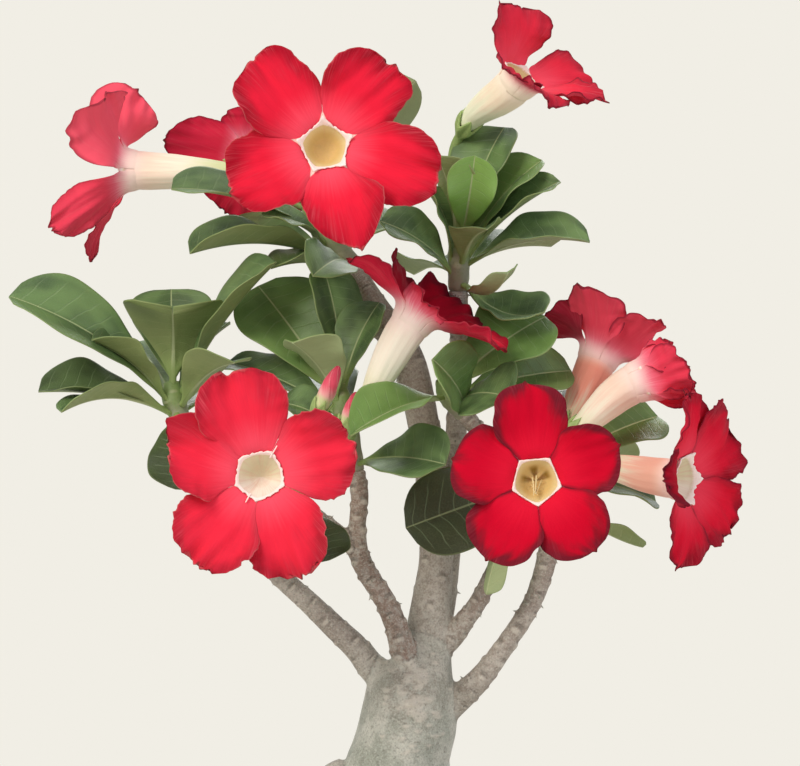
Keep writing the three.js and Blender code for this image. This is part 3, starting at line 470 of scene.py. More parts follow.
class Route:
    """A smooth curve through stations of [x, y, z, radius], as the frame's stems follow."""

    def __init__(self, stations):
        self.stations = np.asarray(stations, float)

    def at(self, share):
        """Places and radii at shares from 0 to 1 of the route."""
        known = self.stations
        first, last = 2 * known[0] - known[1], 2 * known[-1] - known[-2]
        padded = np.vstack([first, known, last])
        spot = np.clip(np.asarray(share, float), 0, 1) * (len(known) - 1)
        k = np.minimum(spot.astype(int), len(known) - 2)
        weight = column(spot - k)
        p = [padded[k + i] for i in range(4)]
        gap = [column(np.maximum(np.linalg.norm(p[i + 1][:, :3] - p[i][:, :3], axis=1), 1e-6) ** 0.5)
               for i in range(3)]
        out = (p[1] - p[0]) / gap[0] - (p[2] - p[0]) / (gap[0] + gap[1]) + (p[2] - p[1]) / gap[1]
        into = (p[2] - p[1]) / gap[1] - (p[3] - p[1]) / (gap[1] + gap[2]) + (p[3] - p[2]) / gap[2]
        out, into = out * gap[1], into * gap[1]
        cubic = 2 * p[1] - 2 * p[2] + out + into
        square = -3 * p[1] + 3 * p[2] - 2 * out - into
        found = ((cubic * weight + square) * weight + out) * weight + p[1]
        return found[:, :3], found[:, 3]

    def way(self, share):
        share = np.clip(np.asarray(share, float), 1e-4, 1 - 1e-4)
        return unit(self.at(share + 1e-4)[0] - self.at(share - 1e-4)[0])

    def length(self):
        places = self.at(np.linspace(0, 1, 60))[0]
        return float(np.linalg.norm(np.diff(places, axis=0), axis=1).sum())


SIDEWAYS = np.array([0.35, 0.9, 0.1])


def across(way):
    """Two directions square to a way, the same all along a gently bent route."""
    first = unit(SIDEWAYS - way * (way @ SIDEWAYS)[..., None])
    return first, np.cross(way, first)


def round_and_along(blank):
    """The angle round a sleeve blank and the share along it, for each of its points."""
    x, y, z = points_of(blanks[blank]).T
    return np.arctan2(y, x), np.clip(z, 0, 1)


print("stem of 40 mm:", round(Route([[0, 0, 0, 2], [0, 0, 40, 2]]).length(), 1), "mm")

# %% [markdown]
# ## Where the plant grows
#
# These are the plant's own measures, close to those of its plain solids: stations of
# [x, y, z, radius] along the trunk and each branch, and for each leaf where it leaves the stem,
# where its tip is and which way its upper side looks.

# %% Trunk and branches
TRUNK = [
    [0, 0, 38, 12], [0, 0, 48, 24], [0, 0, 64, 33], [0, 0, 78, 37], [0, 0, 88, 35.5],
    [0, 0, 100, 31], [-0.5, 0, 110, 27], [-1, 0, 120, 23.5], [-1.6, 0, 135, 18.7],
    [1.5, 0, 147, 17.4], [3, 0, 158, 16.2], [3.5, 0, 165, 14.6], [7, 0.5, 172, 10.8],
    [10, 1, 180, 7.8],
]
BRANCHES = {
    "left": [
        [-1, 0, 162, 6.5], [-9.8, 0, 169.5, 5], [-14.5, -1, 175.6, 4.5], [-22.8, -2, 183.6, 4.1],
        [-32.2, -3, 192.7, 3.7], [-39.2, -4, 199, 3.5], [-52.5, -3, 212.3, 3.4],
        [-64.8, 0, 229.8, 3.3], [-73.5, 3.5, 249, 3.2], [-76, 5, 254.3, 3.2]],
    "middle": [
        [5, -3, 160, 6], [4, -6, 168, 5.6], [1.4, -8, 175.6, 4.8], [-1, -9, 183.3, 4],
        [-4.2, -9.5, 191.3, 3.7], [-8.4, -10, 198.3, 3.5], [-12.3, -10.5, 204.6, 3.5],
        [-14.7, -11, 211.5, 3.4], [-14.7, -12, 221, 2.9], [-14, -12, 230, 3],
        [-15.4, -12, 238.6, 3]],
    "lower": [
        [-12.5, -10.7, 206.5, 3], [-15.5, -11, 211, 3], [-20, -12.5, 215.5, 2.9],
        [-25.5, -14.5, 220, 2.8], [-30.8, -16, 223.9, 2.8]],
    "top_left": [
        [9.5, 1, 176, 8.6], [11.2, 1.5, 193, 6.9], [12.6, 3, 207, 5.8], [12.3, 4, 221, 5.6],
        [11.2, 5, 235, 5.5], [7.8, 7, 257, 5.5], [3.5, 8, 275.3, 5.7], [-1, 9.5, 284, 5.7],
        [-8.4, 11, 294, 5.4], [-14, 12, 303.3, 4.7], [-16.8, 12, 309, 4.2]],
    "top_right": [
        [10, 3, 178, 5], [14, 7, 186, 4.4], [16.8, 9.5, 204.6, 4], [18.3, 9.5, 228, 3.8],
        [19.8, 7, 252.5, 3.6], [21, 4, 277, 3.4], [20.6, 2, 292.8, 3.3], [20.3, 0, 301.6, 3.2]],
    "upright": [
        [12, 0, 174, 4.6], [19.3, -1, 181.5, 3.9], [22.8, -3, 186.4, 3.4], [26.3, -4.5, 191, 3.1],
        [31.5, -6, 200.8, 2.9], [34.6, -6.5, 208, 2.9], [35.5, -6, 221, 2.9],
        [32.5, -6, 238.5, 2.9], [27, -8, 252.5, 2.9], [21.7, -10, 258.8, 2.8]],
    "right": [
        [11, 1, 151, 6], [19.6, 0, 158, 5], [24.5, -3, 162.3, 4.4], [28.7, -5, 166.8, 4],
        [36, -7, 176.6, 3.4], [44.1, -8, 188.9, 3.2], [47.3, -8, 195.2, 3.2],
        [50.8, -8, 206.4, 3.4], [52, -7, 216, 3.2], [51.8, -7, 229.8, 3.1]],
    "stub": [
        [-9, -1, 116, 9], [-16, -2, 124, 8], [-20, -2.5, 130, 7], [-23, -3, 134.5, 5],
        [-24, -3, 136.5, 2.5]],
}
SEATED = 1.5
print(len(BRANCHES), "branches")

# %% Shoots and their leaves
# A leaf has the share of the stem at its foot, its tip, the way its upper side looks and its
# width. Further words say how one differs: bow arches it towards its face, fold is how far each
# half rises in degrees, blunt and notch shape its end, and tone makes it darker or brighter:
# partly its own tone, partly painted shade on leaves that lie in shadow and painted light on
# dim undersides.
def leaf(start, tip, face, wide, **more):
    return dict(start=start, tip=tip, face=face, wide=wide, **more)


SHOOTS = {
    "left": {
        "stem": [[-78, 5.4, 259, 3.7], [-79.5, 5.6, 264, 4.2], [-80.5, 5.6, 270, 2.4]],
        "leaves": [
            leaf(0.7, [-136, -12, 299], [0, -0.65, 0.75], 31, bow=6, fold=26),
            leaf(0.6, [-107, -15, 284], [-0.2, -0.3, 0.95], 20, fold=32),
            leaf(0.9, [-79, -14, 293], [0, 0.9, 0.3], 37, bow=6, fold=18,
                 blunt=0.2, notch=0.1),
            leaf(0.9, [-81, 20, 302], [0, -0.8, 0.6], 30, fold=16),
            leaf(0.7, [-43, -17, 311], [-0.6, -0.3, 0.7], 24, fold=30),
            leaf(0.8, [-60, 15, 290], [-0.7, -0.4, 0.5], 20),
            leaf(0.4, [-126, -8, 266], [0, -0.45, 0.9], 26, fold=30, tone=-0.6),
            leaf(0.3, [-117, -24, 259], [0.1, 0.35, 0.95], 22, bow=6),
            leaf(0.3, [-72, -22, 232], [-0.3, -0.8, 0.4], 26, tone=-0.8),
            leaf(0.4, [-57, -30, 276], [-0.3, 0.7, 0.6], 24, bow=4),
            leaf(0.6, [-97, 45, 283], [0.3, -0.5, 0.8], 26),
            leaf(0.3, [-62, 42, 262], [-0.2, -0.4, 0.9], 26),
        ],
    },
    "top_left": {
        "stem": [[-20, 12, 313.5, 4.2], [-25, 12, 319, 4.4], [-30, 12, 327, 3.4],
                 [-33, 12, 332, 2.2]],
        "leaves": [
            leaf(0.6, [-79, -22, 336], [0.1, -0.5, 0.85], 24, bow=5),
            leaf(0.3, [-73, -14, 314], [0, -0.1, 1], 28, fold=34, bow=5),
            leaf(0.5, [-48, -12, 327], [0.2, -0.5, 0.8], 15),
            leaf(0.2, [-30, -24, 306], [0.2, -0.8, 0.5], 22),
            leaf(0.1, [-45, -6, 309], [0, -0.2, 1], 20),
            leaf(0.3, [6, 38, 325], [-0.2, -0.5, 0.9], 24),
            leaf(0.5, [-30, 52, 336], [0, -0.7, 0.8], 26),
            leaf(0.4, [-66, 34, 322], [0.3, -0.5, 0.8], 26),
            leaf(0.8, [5.5, 18, 376], [-0.2, 0.8, 0.5], 30, tone=0.8),
        ],
    },
    "top_right": {
        "stem": [[20.6, 0, 309, 3.8], [21, 0.5, 316, 4], [21, 2, 326, 3.4], [21, 3, 334, 2.2]],
        "leaves": [
            leaf(0.6, [37, 14, 359], [-0.5, -0.7, 0.5], 28, bow=4),
            leaf(0.6, [26, -14, 348], [0.1, -0.95, 0.2], 19, fold=22, tone=1),
            leaf(0.5, [50, 4, 347], [-0.5, -0.5, 0.7], 30, fold=22, tone=0.5),
            leaf(0.4, [56, -8, 339], [-0.3, -0.4, 0.85], 22),
            leaf(0.3, [66, -12, 318], [0, -0.45, 0.9], 25, fold=30, bow=5),
            leaf(0.5, [13, -12, 348], [0.6, 0.5, 0.6], 24),
            leaf(0.3, [9, -4, 337], [0.6, -0.4, 0.6], 22),
            leaf(0.3, [30, -28, 322], [-0.2, 0.1, 1], 19),
            leaf(0.1, [37, -28, 307], [-0.1, -0.3, 0.95], 18, bow=-5, tone=0.8),
            leaf(0.1, [50, -14, 293.5], [0, -0.5, 0.85], 25, bow=-6),
            leaf(0.5, [29, 50, 332], [0, -0.6, 0.9], 28),
            leaf(0.2, [5, 42, 308], [0.1, -0.4, 0.9], 24),
            leaf(0.3, [54, 40, 318], [-0.3, -0.4, 0.9], 26),
            leaf(0.2, [-7, -13, 325], [0.1, -0.6, 0.75], 24),
        ],
    },
    "middle": {
        "stem": [[-17, -12, 246, 3.6], [-18.5, -12, 255, 3.9], [-20.5, -11, 264, 3.4],
                 [-21.5, -10, 269, 2.2]],
        "leaves": [
            leaf(0.1, [15.5, -44, 241], [0, -0.75, 0.65], 28, fold=18, bow=3),
            leaf(0.9, [-7, -4, 297], [-0.5, -0.7, 0.2], 20),
            leaf(0.7, [-37, -26, 283], [0.2, 0.3, 0.8], 28, tone=0.8),
            leaf(0.8, [-50, 12, 303], [0.1, -0.9, 0.4], 33, fold=14, tone=0.3),
            leaf(0.9, [-27, 4, 309], [0.5, -0.8, 0.2], 23),
            leaf(0.6, [-61, 15, 276], [0.1, -0.6, 0.8], 20),
            leaf(0.4, [-42, -10, 262], [0, -0.6, 0.8], 18),
            leaf(0.5, [-30, 42, 272], [0, -0.5, 0.9], 26),
            leaf(0.2, [-40, 26, 248], [0.2, -0.5, 0.9], 24),
        ],
    },
    "upright": {
        "stem": [[18.5, -11.5, 262, 3.3], [16, -13, 266, 3.5], [14.5, -14, 271, 2.2]],
        "leaves": [
            leaf(0.6, [-17, -58, 251], [0, -0.5, 0.87], 25, fold=30, tone=0.6,
                 blunt=0.95),
            leaf(0.1, [11, -37, 277], [0.3, -0.85, 0.4], 28, tone=0.3),
            leaf(0.3, [37, -33, 264], [0.1, -0.75, 0.6], 30, fold=8, tone=-0.15),
            leaf(0.7, [51, 1, 292], [-0.4, -0.8, 0.4], 33, fold=14, tone=0.4),
            leaf(0.4, [60, 4, 273], [-0.2, -0.8, 0.5], 24, tone=0.2),
        ],
    },
    "right": {
        "stem": [[52, -6.5, 236, 3.6], [52.5, -6, 242, 3.9], [53, -5, 248, 2.4]],
        "leaves": [
            leaf(0.3, [2, -27, 219], [0, -0.95, 0.1], 31, fold=12, tone=-1),
            leaf(0.6, [91, 16, 257], [-0.2, -0.8, 0.5], 29, tone=0.3),
            leaf(0.3, [90, 12, 227], [0, -0.6, 0.7], 24),
            leaf(0.2, [86, 22, 211], [0, -0.1, 1], 13, bow=-3),
            leaf(0.3, [30, -25, 196], [0.75, 0.6, 0.3], 11, bow=-4, tone=0.9),
            leaf(0.6, [58, 40, 266], [0, -0.6, 0.8], 26),
            leaf(0.4, [80, 38, 240], [-0.3, -0.4, 0.9], 26),
            leaf(0.3, [34, 36, 236], [0.2, -0.4, 0.9], 26),
        ],
    },
    "lower": {
        "stem": [[-34, -18, 227, 3.5], [-37, -20, 230.5, 3.2], [-39, -22, 232, 2.2]],
        "leaves": [
            leaf(0.3, [-30, -37, 207], [0.4, -0.9, 0], 27, tone=-0.9),
            leaf(0.3, [-47, 14, 238], [-0.2, -0.3, 0.9], 22),
            leaf(0.3, [-66, -26, 212], [0.2, -0.4, 0.9], 22),
        ],
    },
}
print(sum(len(shoot["leaves"]) for shoot in SHOOTS.values()), "leaves")

# %% [markdown]
# ## Leaves
#
# A leaf is leathery and egg-shaped, widest past its middle. Its two halves rise from a pale rib
# that stands out below and lies in a groove above, its edge waves a little, and its short stalk is
# round. The blank's numbers become those of a leaf: along it the width, the arch and the thickness
# change, and across it each half rises from the rib at a slant and waves towards its edge.

# %% Shape of a leaf
LEAF_THICK = 0.7
LEAF_EDGE = 0.35
PETIOLE_THICK = 1.8
PETIOLE_WIDE = 2.4
PETIOLE_ROOT = 1
RIB_DEPTH = 0.7
LEAF_WAVE = 0.9
LEAF_GROWTH = 1.35

leaf_u, leaf_t, leaf_face = points_of(blanks["leaf"]).T


def leaf_width(t, blunt):
    """Width of a leaf along it, as a share of its greatest."""
    widest = LEAF_GROWTH / (LEAF_GROWTH + blunt)
    full = widest ** LEAF_GROWTH * (1 - widest) ** blunt
    return t ** LEAF_GROWTH * np.maximum(1 - t, 0) ** blunt / full


def leaf_foot(stem, start, tip):
    """Where a leaf's stalk leaves the skin of its stem."""
    place, way = stem.at([start])[0][0], stem.way([start])[0]
    radius = np.interp(start, np.linspace(0, 1, len(stem.stations)), stem.stations[:, 3])
    outwards = tip - place
    outwards = unit(outwards - way * (outwards @ way))
    return place + outwards * (radius - PETIOLE_ROOT)


def leaf_piece(stem, seed, start, tip, face, wide, bow=3, fold=22, blunt=0.5, notch=0, tone=0):
    """A leaf from its stalk's foot on the stem to its tip, with what its finish reads."""
    draw = np.random.default_rng(seed)
    u = 0.55 * leaf_u + 0.45 * np.sin(leaf_u * math.pi / 2)
    t = leaf_t * (2 - leaf_t) * 0.25 + leaf_t * 0.75
    tip = np.asarray(tip, float)
    foot = leaf_foot(stem, start, tip)
    length = np.linalg.norm(tip - foot)
    along = (tip - foot) / length
    up = np.asarray(face, float)
    up = unit(up - along * (up @ along))
    side = np.cross(up, along)

    reach = np.abs(u)
    blade = wide / 2 * leaf_width(t, blunt)
    stalk = PETIOLE_WIDE / 2 * (1 - smooth(0.08, 0.35, t))
    half = np.maximum(np.maximum(blade, stalk), 0.35)
    half = half * (1 + 0.025 * np.sin(9 * t + draw.uniform(0, 6)) * smooth(0.2, 0.5, t))
    lean = np.radians(fold) * smooth(0, 0.3, t)
    out, lift = reach * half * np.cos(lean), reach * half * np.sin(lean)

    phase = draw.uniform(0, 6.28, 4)
    ripple = (np.sin(8.5 * t + np.where(u < 0, phase[0], phase[1]))
              + 0.6 * np.sin(17 * t + np.where(u < 0, phase[2], phase[3])))
    ripple = LEAF_WAVE * ripple * reach ** 2.2 * smooth(0.2, 0.5, t) * (1 - smooth(0.93, 1, t))
    slope = bow * 4 * (1 - 2 * t) / length
    upwards = column(np.cos(lean)) * up - column(np.sin(lean) * np.sign(u)) * side
    upwards = unit(upwards - column(slope * np.cos(lean)) * along)
    shift = notch * length * reach ** 1.4 * smooth(0.5, 1, t)
    middle = foot + column(length * t + shift) * along + column(bow * 4 * t * (1 - t)) * up
    laid_flat = middle + column(np.sign(u) * out) * side + column(lift + ripple) * up

    stalky = 1 - smooth(0.04, 0.3, t)
    round_stalk = PETIOLE_THICK / 2 * np.sqrt(np.maximum(1 - (0.97 * reach) ** 2, 0))
    flat = (LEAF_EDGE + (LEAF_THICK - LEAF_EDGE) * (1 - reach ** 4)) / 2
    thick = flat + (round_stalk - flat) * stalky
    rib = np.exp(-(reach * half / (1.1 - 0.6 * t)) ** 2) * (1 - t) ** 0.6 * (1 - stalky)
    below = thick + RIB_DEPTH * rib
    above = thick - 0.25 * rib
    place = laid_flat + column(np.where(leaf_face > 0, above, -below)) * upwards
    return laid("leaf", place, lay=np.column_stack([u, t, np.full(len(t), draw.uniform(0, 50))]),
                upper=leaf_face > 0, aside=reach * half, tone=tone, stalky=1 - smooth(0.1, 0.34, t))


print("width of a leaf at its middle:", round(float(leaf_width(0.5, 0.5)), 2), "of its greatest")


# %% [markdown]
# The finish reads those same numbers. The rib's width is in millimetres, because a long leaf has
# no broader rib, and the side veins leave it at a slant and fade before the edge. The underside is
# paler and more olive, without the gloss of the upper side.

# %% Finish of a leaf
leaf_finish = Finish("leaf", IOR=1.45)
u, t, seed = leaf_finish.parts(leaf_finish.attribute("lay", "Vector"))
aside, upper, tone, stalky = leaf_finish.marks("aside upper tone stalky")
spot = leaf_finish.point(u, t * 2.2, seed)
clouds = leaf_finish.noise(spot, 1.3, 2.0)
grain = leaf_finish.noise(spot, 14.0, 3.0)
rib = 1 - (aside / (0.62 - t * 0.35)).rise(0.55, 1.25)
slant = (t * 10.5 + abs(u) * 1.5 * (1 - t * 0.4) + clouds.swing(0.8)).fraction()
vein = (abs(slant - 0.5) * 2).rise(0.86, 0.99) * (1 - abs(u).rise(0.6, 0.95)) * (1 - stalky)
web = leaf_finish.cells(spot, 26.0, "DISTANCE_TO_EDGE").rise(0.0, 0.09)
# tone darkens or brightens a whole leaf, here and in its underside below: partly its own tone, partly
# painted shade and painted light
green = leaf_finish.coats(
    leaf_finish.blend(clouds.rise(0.32, 0.68), "#475F38", "#6D8A52"),
    ((tone * 0.8).most(0.0), "#7FA94A"),
    ((tone * -0.9).most(0.0), "#30341C"),
    (vein * 0.22, "#93A878"),
    ((1 - web) * 0.1, "#8CA070"),
    (rib * (0.75 + tone * 0.35).least(0.8), "#AEBB88"))
pale = leaf_finish.coats(
    leaf_finish.blend(clouds.rise(0.3, 0.75), "#7E8F55", "#8A975F"),
    ((tone * 0.7).most(0.0), "#A6B588"),
    (vein * 0.3 + (1 - web) * 0.15, "#A5B07C"),
    ((tone * -0.8).most(0.0), "#4A5A32"),
    (rib * 0.8, "#B9C495"))
colour = leaf_finish.coats(
    leaf_finish.blend(upper, pale, green),
    (abs(u).rise(0.955, 1.0) * 0.25, "#A3B072"),
    (stalky * 0.85, "#8CA35E"))
leaf_finish.relief(0.5 - vein * 0.22 - rib * 0.3 + grain * 0.12 + web * 0.06, 0.35)
leaf_material = leaf_finish.done(colour, 0.62 - upper * 0.26 + grain.swing(0.16))
print("leaf finish:", len(leaf_finish.tree.nodes), "nodes")

# %% [markdown]
# ## Where the flowers stand
#
# foot and way: where a tube starts and how it sets off. throat and aim: the middle of its mouth
# and the way the mouth looks. start: share of the shoot's stem where the flower's stalk is rooted.
# Each petal has an angle round the mouth, its length and width, its lift from the flower's face,
# and a twist. Petals are listed round to the left. `USUAL` holds what most flowers share, from the
# pink of a tube to the teeth of its fringe, so a flower only says where it differs.

# %% Flowers and buds
# tint and flush: how green, or how salmon, a tube is. deep, bright and edge: darker petals,
# painted light that pales petals lying in shade, and dark rims; deep above 1 is painted shade
# on petals whose inner face lies in shadow. teeth, sharp and tattered shape the fringe. milky,
# hollows and threads: the mouth's pale bore, the hollows of its cone, whose upper half is painted
# dark as shade, and threads as angles and reaches.
USUAL = dict(tint=0, flush=0.25, edge=0, deep=0, bright=0, milky=0, teeth=2, sharp=2, tattered=0,
             hollows=0, threads=(), calyx=1)


def petal(angle, **more):
    return dict(angle=angle, **more)


FLOWERS = {
    "flower_front_top": dict(
        shoot="top_left", start=0.85, foot=[-21, -18, 331], way=[0, -0.75, 0.65],
        throat=[-25.5, -58, 349], aim=[0.05, -1, 0.12], teeth=3.9, sharp=2.8, tattered=0.8, petals=[
            petal(54.5, long=29.5, wide=29, blunt=3.6, point=0.02, wave=1.6, lean=-3.5,
                  dip=1, dip_at=0.2, uneven=0.14),
            petal(133.5, long=31, wide=29, blunt=3.6, skew=-0.5, point=0.07, lean=-1.5, uneven=0.1),
            petal(206, long=28.5, wide=30, blunt=2.8, skew=0.1, wave=1.5, ragged=0.5),
            petal(284, long=27, wide=28, blunt=2.2, skew=0.25, point=0.2, lift=18, uneven=0.15),
            petal(345, long=33.5, wide=27.5, blunt=2.7, skew=-0.35, point=0.03, lean=-1)]),
    "flower_far_left": dict(
        shoot="top_left", start=1, foot=[-56, 8, 343], way=[-0.98, 0.05, 0],
        throat=[-96, 14, 344], aim=[-1, 0.1, 0], edge=0.7, bright=0.45, petals=[
            petal(48, lift=18, twist=-38, long=26, wide=30, blunt=2.8, recurve=34, wave=1.8, bright=1),
            petal(100, lift=-4, long=22, wide=27, wave=1.6, twist=-62, recurve=34, bright=1),
            petal(180, lift=20, long=22),
            petal(252, lift=34, long=29, wide=16, ragged=0.8),
            petal(312, lift=49, twist=40, long=31, wide=16, recurve=10, ragged=0.8)]),
    "flower_top_right": dict(
        shoot="top_right", start=1, foot=[23, 10, 359], way=[0.45, -0.5, 0.7],
        throat=[42, -10, 375], aim=[0.62, -0.36, 0.7], tint=-0.8, edge=1, bright=0.4, petals=[
            petal(88, lift=64, twist=-15, long=20.5, wide=29, blunt=4.2, recurve=30, uneven=0.1,
                  skew=0.75, point=0.1, lean=1.5),
            petal(196, lift=24, long=11, wide=20, recurve=44, deep=0.6),
            petal(240, lift=26, long=18, wide=20, recurve=44, twist=0, deep=0.6),
            petal(292, lift=38, long=22, wide=22, recurve=16, point=0.16, twist=0),
            petal(338, lift=22, long=22, wide=24, point=0.2, recurve=24)]),
    "flower_centre": dict(
        shoot="middle", start=0.3, foot=[-12.5, -26, 259.5], way=[0.45, 0, 0.88],
        throat=[5, -27, 291.5], aim=[0.55, 0.1, 0.78], tint=0.15, edge=0.6, flush=0.1, petals=[
            petal(30, lift=44, long=22, wide=26, deep=1.7),
            petal(98, lift=10, long=24, wide=20, recurve=34),
            petal(172, lift=30, long=9, wide=18, blunt=3, twist=-20),
            petal(248, lift=22, long=26.5, wide=29, wave=1.8, blunt=3, recurve=34),
            petal(324, lift=46, long=24, wave=1.8, deep=1.6)]),
    "flower_front_left": dict(
        shoot="lower", start=0.9, foot=[-41, -34, 233], way=[-0.1, -1, 0],
        throat=[-47, -75, 238], aim=[0, -1, 0.05], teeth=1.2, tattered=1, milky=1, bright=0.25,
        threads=[(60, 11.6), (243, 10.4)], petals=[
            petal(20, long=26, wide=31, blunt=2.6, skew=-0.1, wave=1.6, ragged=0.9),
            petal(106, long=29.5, wide=31.5, blunt=2.9, skew=0.2, point=0.02, wave=1.4,
                  dents=[(0.3, 0.85, 0.28, -2.2)]),
            petal(171, long=25, wide=28, blunt=3.2, skew=-0.7, point=0.2, wave=1.4, ragged=0.6,
                  lift=20, uneven=-0.08, lean=-4),
            petal(233, long=29.5, wide=31, blunt=2.8, skew=0.1, wave=1.9, ragged=1.2,
                  dents=[(0.5, 0.7, 0.25, -1.6)]),
            petal(294, long=29, wide=29, blunt=2.8, skew=-0.05, point=0.06, wave=1.9, ragged=1)]),
    "flower_front_right": dict(
        shoot="right", start=0.4, foot=[51, -25, 236], way=[-0.1, -1, 0],
        throat=[46, -62, 236], aim=[0, -1, 0.05], deep=1, teeth=1.8, hollows=0.75, petals=[
            petal(23, long=22.5, wide=25, point=0.07, ragged=0, wave=0.7),
            petal(96, long=27.2, wide=26, curl=1.6, point=0, ragged=0, wave=0.6),
            petal(165, long=23, wide=27, curl=1, point=0, ragged=0, wave=0.6),
            petal(238, long=24.5, wide=26.5, point=0.03, ragged=0, wave=0.6),
            petal(310, long=24, wide=26, point=0.03, ragged=0, wave=0.7)]),
    "flower_right_back": dict(
        shoot="right", start=0.9, foot=[57, -1, 253], way=[0.5, 0.2, 0.8],
        throat=[70.5, 13, 279], aim=[0.42, 0.15, 0.85], flush=0.9, edge=1, bright=0.6, petals=[
            petal(10, lift=22, long=22),
            petal(84, lift=4, wide=22, long=17, twist=40, recurve=20, deep=1.4, ragged=0),
            petal(132, lift=42, long=24, wide=22, point=0.16, skew=-0.4, ragged=0, wave=1),
            petal(196, lift=52, long=22, wide=21, ragged=0, wave=0.8),
            petal(285, lift=26, long=22)]),
    "flower_right_front": dict(
        shoot="right", start=0.7, foot=[59.5, -15, 251], way=[0.8, 0, 0.6],
        throat=[84, -17, 270], aim=[0.94, -0.05, 0.32], flush=0.35, teeth=0.5, edge=1, bright=0.3,
        petals=[
            petal(40, lift=78, long=14, wide=19), petal(112, lift=78, long=12, wide=20),
            petal(184, lift=74, long=17, wide=21), petal(256, lift=80, long=17, wide=19),
            petal(328, lift=74, long=17, wide=19)]),
    "flower_far_right": dict(
        shoot="right", start=0.7, foot=[65.5, -10, 241], way=[0.95, -0.2, -0.1],
        throat=[97, -30, 236], aim=[0.85, -0.5, 0], flush=0.7, teeth=3, tattered=0.9, milky=1, edge=1,
        deep=0.4, petals=[
            petal(38, lift=15, long=25, wide=31, blunt=3, ragged=1, twist=0, wave=1.6),
            petal(100, lift=14, wide=25, long=23, ragged=0.8, wave=1.6),
            petal(180, lift=26, recurve=55, wide=20, long=17, ragged=0.8, deep=1.4),
            petal(256, lift=8, wide=21, long=23, ragged=0.6, point=0.1),
            petal(322, lift=18, long=23, wide=24, ragged=1, point=0.1, wave=1.6)]),
    "flower_behind": dict(
        shoot="top_left", start=0.95, foot=[-40, 18, 337], way=[-0.4, 0.6, 0.6],
        throat=[-51, 45, 347], aim=[-0.35, 0.9, 0.15], edge=1, deep=0.5, petals=[
            petal(13, long=26, wide=25, lift=5, blunt=1.7, point=0.2),
            petal(96, long=15, lift=22), petal(164, long=25), petal(232, long=19),
            petal(300, long=13)]),
}
BUDS = {
    "bud_large": dict(shoot="middle", start=0.6, foot=[-28, -26, 259.5],
                      throat=[-21, -29, 275], size=1, calyx=0.75),
    "bud_small": dict(shoot="middle", start=0.4, foot=[-19, -37, 254],
                      throat=[-15, -40, 266], size=0.8, calyx=0.7),
}


def ready(flower):
    """A flower with what is usual, and its directions: aim, and first and second across it."""
    foot, throat = np.array(flower["foot"], float), np.array(flower["throat"], float)
    aim = unit(flower.get("aim", throat - foot))
    way = unit(flower.get("way", aim))
    second = np.array([0, 0, 1.0])
    second = unit(second - aim * (second @ aim))
    placed = dict(foot=foot, throat=throat, aim=aim, way=way, second=second,
                  first=np.cross(second, aim))
    return SimpleNamespace(**{**USUAL, **flower, **placed})


FLOWERS = {name: ready(flower) for name, flower in FLOWERS.items()}
BUDS = {name: ready(bud) for name, bud in BUDS.items()}
print(len(FLOWERS), "flowers and", len(BUDS), "buds")

# %% [markdown]
# ## Petals
#
# Five petals stand round the mouth. Each rises steeply from a narrow claw, so that together they
# make a shallow funnel, then bends outwards into a broad velvety blade with a ruffled edge and a
# fine point. At the claws a petal's half is as wide as the room up to the plane halfway to its
# neighbour. Further out each petal is twisted a little, so that one side of it lies over its
# neighbour and the other side under.

# %% Shape of a petal
MOUTH_RADIUS = 7.4
CLAW_RADIUS = 6.95
CLAW_LENGTH = 5.0
CLAW_HALF = 6.0
CLAW_SLOPE = 86
CLAW_SUNK = 0.55
CLAW_SUNK_FOR = 2.4
FLARE_FROM = 2.0
FLARE_TO = 11.0
WIDEST = 0.56
PETAL_BLUNT = 0.985
OVERLAP = 4.5
CLEAR = 0.04
PETAL_THICK = 0.6
PETAL_EDGE = 0.3
PETAL_CUP = 0.5
MIDDLE_STEPS = 32
SOFT_DENTS = 3

petal_u, petal_v, petal_face = points_of(blanks["petal"]).T


def petal_slope(arc, whole, lift, recurve):
    """How steeply a petal rises: along the tube's wall, then flaring, then falling back."""
    fall = recurve * np.maximum(0, (arc - FLARE_TO) / (whole - FLARE_TO)) ** 2
    return np.radians(CLAW_SLOPE + (lift - CLAW_SLOPE) * smooth(FLARE_FROM, FLARE_TO, arc) - fall)


def half_width(v, wide, blunt):
    """Half of a petal's width along it: filling out early, and round or blunt at its end."""
    filling = 1 - np.clip(1 - v / WIDEST, 0, 1) ** 2.2
    inner = CLAW_HALF + (wide / 2 - CLAW_HALF) * filling
    beyond = part(WIDEST, 1, v) * PETAL_BLUNT
    return np.where(v < WIDEST, inner, wide / 2 * (1 - beyond ** blunt) ** 0.48)


def room(radius, flat, v, halfway):
    """How wide a half may be: up to its neighbour at the claw, and over or under it further out."""
    edge = math.radians(min(halfway, 52))
    return radius * (edge + (math.tan(edge) - edge) * flat) - CLEAR + OVERLAP * smooth(0.12, 0.55, v)


def held(half, limit, power=16):
    """The narrower of two widths, with a soft change from one to the other."""
    return half * limit / (half ** power + limit ** power) ** (1 / power)


def waves(draw, along, about, *lengths):
    """Uneven ripples: waves of several lengths, each with its own place drawn."""
    total = 0
    for length in lengths:
        total = total + np.sin(along * 6.28 / length + draw.uniform(0, 6.28) + about) * length ** 0.7
    return total / sum(length ** 0.7 for length in lengths)


